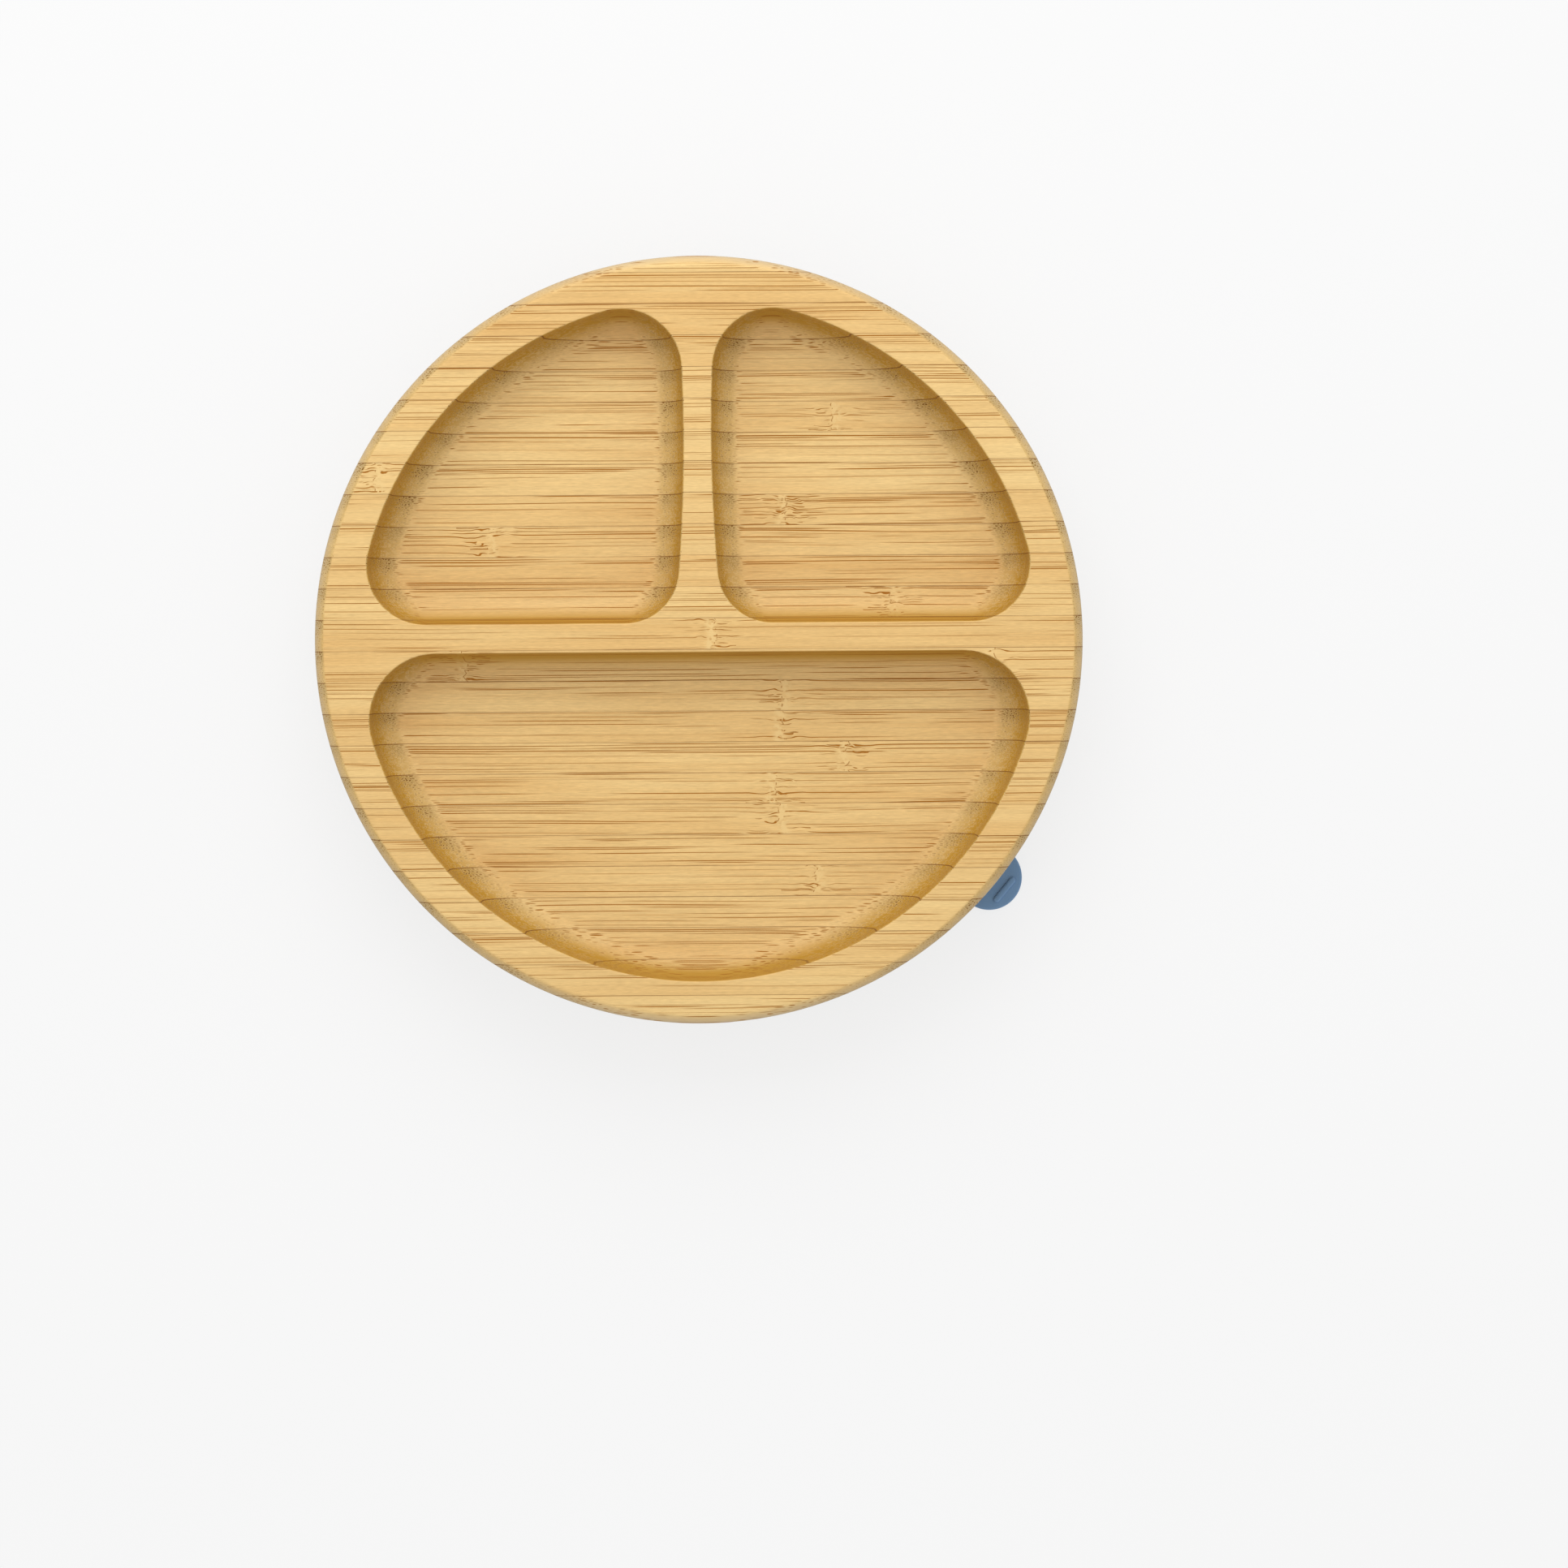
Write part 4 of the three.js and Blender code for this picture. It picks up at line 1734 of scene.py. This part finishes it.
@dataclass
class BaseHub:
    """The bamboo hub under the board, with the groove for the ring and a sink for each brad's head."""

    groove_depth: float = 5 * MM
    groove_height: float = 6 * MM
    edge_round: float = 0.5 * MM
    sink_radius: float = 0.95 * MM
    sink_depth: float = 1.1 * MM
    segments: int = 192
    edge_segments: int = 3
    sink_segments: int = 24
    brad_nodes: tuple[str, ...] = tuple(f"brad_{i}" for i in range(1, 7))

    def __post_init__(self) -> None:
        """Takes the hub's radius and levels from its CAD node."""
        low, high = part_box("base_hub")
        self.radius = high[0]
        self.bottom = low[2]
        self.top = high[2]

    def finish(self) -> BambooFinish:
        """Chooses the hub's bamboo: wide strips laid flat, with one knuckle.

        Returns:
            The finish.
        """
        cut = BambooCut(
            bundle_gap=0.62,
            least_crowding=0.45,
            streak_strength=0.95,
            edge_radius=self.radius / MM,
        )
        tones = BambooTones(
            honey=screen_colour(206, 162, 86),
            tan=screen_colour(192, 142, 66),
            streak=screen_colour(150, 94, 34),
            end_grain=screen_colour(159, 117, 57),
            pore=screen_colour(87, 56, 24),
            glue_line=screen_colour(118, 76, 33),
            wall=screen_colour(159, 117, 57),
            edge=screen_colour(159, 117, 57),
        )
        return BambooFinish(
            name="hub_bamboo",
            strip_width=24.0,
            first_seam=-62.0,
            strip_count=6,
            knuckles=({2: 8.1},),
            cut=cut,
            tones=tones,
        )

    def brad_finish(self) -> SteelFinish:
        """Chooses the brads' stained steel.

        Returns:
            The finish.
        """
        bright = screen_colour(120, 112, 102)
        dark = screen_colour(70, 62, 54)
        return SteelFinish("brad_steel", bright, dark)

    def build(self, frame_nodes: Mapping[str, Piece]) -> Piece:
        """Models the hub, dresses it and the brads, and lets it ride on the plate.

        Args:
            frame_nodes: CAD nodes by name.

        Returns:
            The finished hub.
        """
        lip_top = self.top - self.groove_height
        hub = add_disc("hub_disc", self.radius, self.bottom, lip_top, self.segments)
        edit(hub)
        pick(hub, SelectMode.FACE, level(lip_top))
        bpy.ops.mesh.inset(thickness=self.groove_depth, depth=0.0)
        extrude_up(self.groove_height)
        round_edges(hub, self.bottom, self.edge_round, self.edge_segments)
        leave()
        combine(hub, self.sink_cutters(), Combining.CUT_OUT)
        edit(hub)
        close_up(hub)
        dress(hub, self.finish().material())
        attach(hub, Body.PLATE.value)
        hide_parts("base_hub")
        steel = self.brad_finish().material()
        for node in self.brad_nodes:
            dress(frame_nodes[node], steel)
        return hub

    def sink_cutters(self) -> Piece:
        """Models the six sinks as one cutter.

        Returns:
            The cutter.
        """
        cutters = []
        for node in self.brad_nodes:
            low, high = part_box(node)
            cutters.append(add_disc(
                f"sink_{node}",
                self.sink_radius,
                self.bottom - self.sink_depth,
                self.bottom + self.sink_depth,
                self.sink_segments,
                ((low[0] + high[0]) / 2, (low[1] + high[1]) / 2),
            ))
        join_all(cutters[0], cutters[1:])
        return cutters[0]


@dataclass
class SuctionRing:
    """The silicone ring: a bead in the hub's groove, a skirt round the hub and a bell that ends in a lip.

    bell_depth is the height that the bell's underside leans to, lip_seat the width of the flat that seals
    on the table, and lip_slope the slope of the bell's top at the lip.
    """

    hub: BaseHub
    bead_gap: float = 0.3 * MM
    bead_round: float = 0.5 * MM
    skirt_height: float = 3 * MM
    skirt_round: float = 0.6 * MM
    collar_round: float = 0.8 * MM
    bell_depth: float = 5.2 * MM
    bell_fillet: float = 1.5 * MM
    lip_round: float = 0.7 * MM
    lip_seat: float = 2 * MM
    lip_slope: float = math.radians(28.5)
    hub_edge_gap: float = 0.7 * MM
    bend_start: float = 1 * MM
    curve_steps: int = 28
    profile_step: float = 0.16 * MM
    segments: int = 180

    def __post_init__(self) -> None:
        """Takes the ring's radii and levels from the hub and from the CAD collar and flange."""
        collar_low, collar_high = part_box("ring_collar")
        flange_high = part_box("suction_flange")[1]
        self.bead_inner = self.hub.radius - self.hub.groove_depth + self.bead_gap
        self.skirt_inner = self.hub.radius + self.hub_edge_gap
        self.collar_outer = collar_high[0]
        self.lip_outer = flange_high[0]
        self.skirt_bottom = collar_low[2]
        self.bead_bottom = self.skirt_bottom + self.skirt_height
        self.bead_top = collar_high[2]
        self.bell_top = flange_high[2]

    def finish(self) -> SiliconeFinish:
        """Chooses the ring's blue-grey silicone.

        Returns:
            The finish.
        """
        light = screen_colour(110, 145, 182)
        dark = screen_colour(100, 133, 169)
        return SiliconeFinish("silicone", light, dark)

    def build(self, silicone: bpy.types.Material) -> Piece:
        """Models the ring and dresses it.

        Args:
            silicone: The ring's material.

        Returns:
            The finished ring.
        """
        ring = self.draw_profile()
        bpy.ops.mesh.select_all(action="SELECT")
        axis = Plane.PLAN.value
        bpy.ops.mesh.spin(steps=self.segments, angle=FULL_TURN, center=(0.0, 0.0, 0.0), axis=axis)
        close_up(ring)
        dress(ring, silicone)
        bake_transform(ring)
        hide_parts("ring_collar", "suction_flange")
        return ring

    def draw_profile(self) -> Piece:
        """Draws the ring's section, from the bead's underside out, round the lip and back over the top.

        Returns:
            The section, open in edit mode.
        """
        down, up, left = -QUARTER_TURN, QUARTER_TURN, math.pi
        bead_x = self.bead_inner + self.bead_round
        pen = Pen("suction_ring_moulding", Plane.SECTION, (bead_x, self.bead_bottom), self.profile_step)
        pen.line((self.skirt_inner, self.bead_bottom))

        # Skirt and underside of the bell
        skirt_corner = (self.skirt_inner + self.skirt_round, self.skirt_bottom + self.skirt_round)
        pen.arc(Arc(skirt_corner, self.skirt_round, left, QUARTER_TURN))
        pen.line((self.collar_outer, self.skirt_bottom))
        lip_centre = (self.lip_outer - self.lip_round, self.lip_round)
        seat_start = lip_centre[0] - self.lip_seat
        halfway = (self.collar_outer + seat_start) / 2
        pen.bezier((halfway, self.bell_depth), (seat_start, 0.0), self.curve_steps)

        # Lip and top of the bell
        pen.arc(Arc(lip_centre, self.lip_round, down, math.pi - self.lip_slope))
        lip_top = pen.tip
        bell_end = (self.collar_outer + self.bell_fillet, self.bell_top)
        middle = (lip_top[0] + bell_end[0]) / 2
        lean = lip_top[1] + (lip_top[0] - middle) * math.tan(self.lip_slope)
        pen.bezier((middle, lean), bell_end, self.curve_steps)

        # Collar and bead
        collar_x = self.collar_outer - self.collar_round
        pen.arc(Arc((bell_end[0], self.bell_top + self.bell_fillet), self.bell_fillet, down, -QUARTER_TURN))
        pen.arc(Arc((collar_x, self.bead_top - self.collar_round), self.collar_round, 0.0, QUARTER_TURN))
        pen.arc(Arc((bead_x, self.bead_top - self.bead_round), self.bead_round, up, QUARTER_TURN))
        pen.arc(Arc((bead_x, self.bead_bottom + self.bead_round), self.bead_round, left, QUARTER_TURN))
        pen.close()
        return pen.piece


@dataclass
class PullTab:
    """The tab that breaks the seal: a round-ended tongue on the lip, with a grip rib across its end.

    Its tip is a radius from the plate's axis, and its root reaches into the bell. bend_start, a place inside
    the lip's edge, and bend_end, one outside it, are not used.
    """

    angle: float = math.radians(-39.7)
    tip: float = 99.7 * MM
    width: float = 16 * MM
    root_reach: float = 3 * MM
    root_fillet: float = 2.2 * MM
    edge_round: float = 0.6 * MM
    rib_length: float = 7.6 * MM
    rib_width: float = 1.6 * MM
    rib_height: float = 0.7 * MM
    rib_round: float = 0.56 * MM
    rib_from_tip: float = 3.3 * MM
    bend_start: float = 1.2 * MM
    bend_end: float = 3 * MM
    outline_step: float = 0.5 * MM
    edge_segments: int = 4
    rib_segments: int = 5

    def __post_init__(self) -> None:
        """Takes the tab's levels from its CAD node, and the lip's radius from the flange."""
        low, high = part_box("pull_tab")
        self.bottom = low[2]
        self.top = high[2] - self.rib_height
        self.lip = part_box("suction_flange")[1][0]

    def build(self, silicone: bpy.types.Material) -> Piece:
        """Models the tab along X, turns it to its place and dresses it.

        Args:
            silicone: The tab's material.

        Returns:
            The finished tab.
        """
        tab = self.tongue()
        combine(tab, self.grip_rib(), Combining.JOIN_ON)
        edit(tab)
        close_up(tab)
        turn_piece(tab, self.angle)
        dress(tab, silicone)
        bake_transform(tab)
        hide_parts("pull_tab")
        return tab

    def tongue(self) -> Piece:
        """Models the flat tongue, with round edges.

        Returns:
            The tongue.
        """
        half = self.width / 2
        fillet = self.root_fillet
        fillet_y = half + fillet
        fillet_x = math.sqrt((self.lip + fillet) ** 2 - fillet_y**2)
        touch = math.atan2(fillet_y, fillet_x)
        root = self.lip - self.root_reach
        pen = Pen("pull_tab_moulding", Plane.PLAN, (root, -half), self.outline_step)
        pen.arc(Arc((fillet_x, -fillet_y), fillet, math.pi - touch, touch - QUARTER_TURN))
        pen.arc(Arc((self.tip - half, 0.0), half, -QUARTER_TURN, math.pi))
        pen.arc(Arc((fillet_x, fillet_y), fillet, -QUARTER_TURN, touch - QUARTER_TURN))
        pen.line((root, half))
        pen.line((root, -half))
        pen.close_as_slab(self.bottom, self.top)
        for height in (self.bottom, self.top):
            round_edges(pen.piece, height, self.edge_round, self.edge_segments)
        leave()
        return pen.piece

    def grip_rib(self) -> Piece:
        """Models the rib, sunk a little into the tongue.

        Returns:
            The rib.
        """
        middle = self.tip - self.rib_from_tip
        radius = self.rib_width / 2
        reach = self.rib_length / 2 - radius
        rib_top = self.top + self.rib_height
        pen = Pen("grip_rib", Plane.PLAN, (middle + radius, reach), self.outline_step / 2)
        pen.arc(Arc((middle, reach), radius, 0.0, math.pi))
        pen.arc(Arc((middle, -reach), radius, math.pi, math.pi))
        pen.line((middle + radius, reach))
        pen.close_as_slab(self.top - self.rib_height, rib_top)
        round_edges(pen.piece, rib_top, self.rib_round, self.rib_segments)
        leave()
        return pen.piece


@dataclass
class Studio:
    """Floor, light and camera.

    The image, the plate's centre and its radius are pixels of the photograph, and the tilt is its turn
    about its own axis. The camera's height is above the widest level of the board, and the sensor is in
    millimetres. The floor and the world are seen in floor_colour, most of it as the floor's own glow.
    """

    image_size: int = 1932
    plate_centre: tuple[int, int] = (861, 788)
    plate_radius: int = 473
    camera_height: float = 700 * MM
    tilt: float = math.radians(-0.4)
    sensor: float = 36.0
    lamp_place: tuple[float, float, float] = (-0.05, 0.5, 0.55)
    lamp_size: float = 0.6
    lamp_power: float = 3.0
    world_light: float = 0.82
    floor_size: float = 6.0
    floor_grey: float = 0.86
    floor_roughness: float = 0.9
    floor_colour: Colour = screen_colour(248, 248, 248)
    floor_glow: float = 0.8

    def build(self, board: BambooBoard) -> None:
        """Makes the camera, the lamp, the world and the floor.

        Args:
            board: The board, which the camera is framed on.
        """
        self.add_camera(board)
        self.add_lamp()
        self.add_world()
        self.add_floor()
        bpy.context.scene.view_settings.view_transform = "Standard"

    def add_camera(self, board: BambooBoard) -> None:
        """Makes the camera, straight above the plate, with the photograph's framing.

        Args:
            board: The board, which it is framed on.
        """
        data = bpy.data.cameras.new("camera")
        camera = bpy.data.objects.new("camera", data)
        bpy.context.scene.collection.objects.link(camera)
        camera.location = (0.0, 0.0, board.top - board.top_round + self.camera_height)
        camera.rotation_euler = (0.0, 0.0, self.tilt)
        view_width = self.image_size * board.radius / self.plate_radius
        data.sensor_width = self.sensor
        data.lens = self.sensor * self.camera_height / view_width
        data.shift_x = 0.5 - self.plate_centre[0] / self.image_size
        data.shift_y = self.plate_centre[1] / self.image_size - 0.5
        bpy.context.scene.camera = camera

    def add_lamp(self) -> None:
        """Makes the lamp."""
        data = bpy.data.lights.new("key_light", "AREA")
        data.size = self.lamp_size
        data.energy = self.lamp_power
        lamp = bpy.data.objects.new("key_light", data)
        lamp.location = self.lamp_place
        lamp.rotation_euler = Vector(self.lamp_place).to_track_quat("Z", "Y").to_euler()
        bpy.context.scene.collection.objects.link(lamp)

    def add_world(self) -> None:
        """Makes a plain pale world, which lights softly from all sides and looks like the floor."""
        world = bpy.data.worlds.new("studio")
        world.use_nodes = True
        graph = Graph(world.node_tree)
        strength = graph.ramp(self.seen_ray(graph), Ramp(0.0, 1.0, self.world_light, self.floor_colour[0]))
        sockets = {"Color": (1.0, 1.0, 1.0, 1.0), "Strength": strength}
        graph.feed_all(world.node_tree.nodes["Background"], sockets)
        bpy.context.scene.world = world

    def add_floor(self) -> None:
        """Makes the pale floor, part of whose colour is its own, so that only a faint shadow shows."""
        floor = add_piece("floor", bpy.ops.mesh.primitive_plane_add, size=self.floor_size)
        material, graph, shader = new_material("pale_floor")
        grey = (self.floor_grey, self.floor_grey, self.floor_grey, 1.0)
        graph.feed_all(shader, {"Base Color": grey, "Roughness": self.floor_roughness})
        glow = graph.node("ShaderNodeEmission", {"Color": self.floor_colour, "Strength": 1.0})
        share = graph.product(self.seen_ray(graph), self.floor_glow)
        mixed = graph.node("ShaderNodeMixShader", {"Fac": share})
        graph.feed(mixed.inputs[1], shader.outputs[0])
        graph.feed(mixed.inputs[2], glow.outputs[0])
        graph.feed(material.node_tree.nodes["Material Output"].inputs["Surface"], mixed.outputs[0])
        dress(floor, material)

    def seen_ray(self, graph: Graph) -> Socket:
        """Adds a test for rays that the camera sees, also in gloss and through glass.

        Args:
            graph: Graph of the material or the world.

        Returns:
            1 for such rays, and 0 for others.
        """
        rays = graph.node("ShaderNodeLightPath").outputs
        seen = graph.math("MAXIMUM", rays["Is Camera Ray"], rays["Is Glossy Ray"])
        return graph.math("MAXIMUM", seen, rays["Is Transmission Ray"])


def main() -> None:
    """Builds the scene."""
    logging.basicConfig(level=logging.INFO, format="%(name)s: %(message)s")
    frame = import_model()
    for group in (StripLayout(), BambooGrain(), SurfaceMottle()):
        group.build()
    board = BambooBoard()
    hub = BaseHub()
    ring = SuctionRing(hub)
    silicone = ring.finish().material()
    pieces = [
        board.build(),
        hub.build(frame["nodes"]),
        ring.build(silicone),
        PullTab().build(silicone),
    ]
    for piece in pieces:
        LOG.info("%s has %d faces", piece.name, len(piece.data.polygons))
    Studio().build(board)


if __name__ == "__main__":
    main()
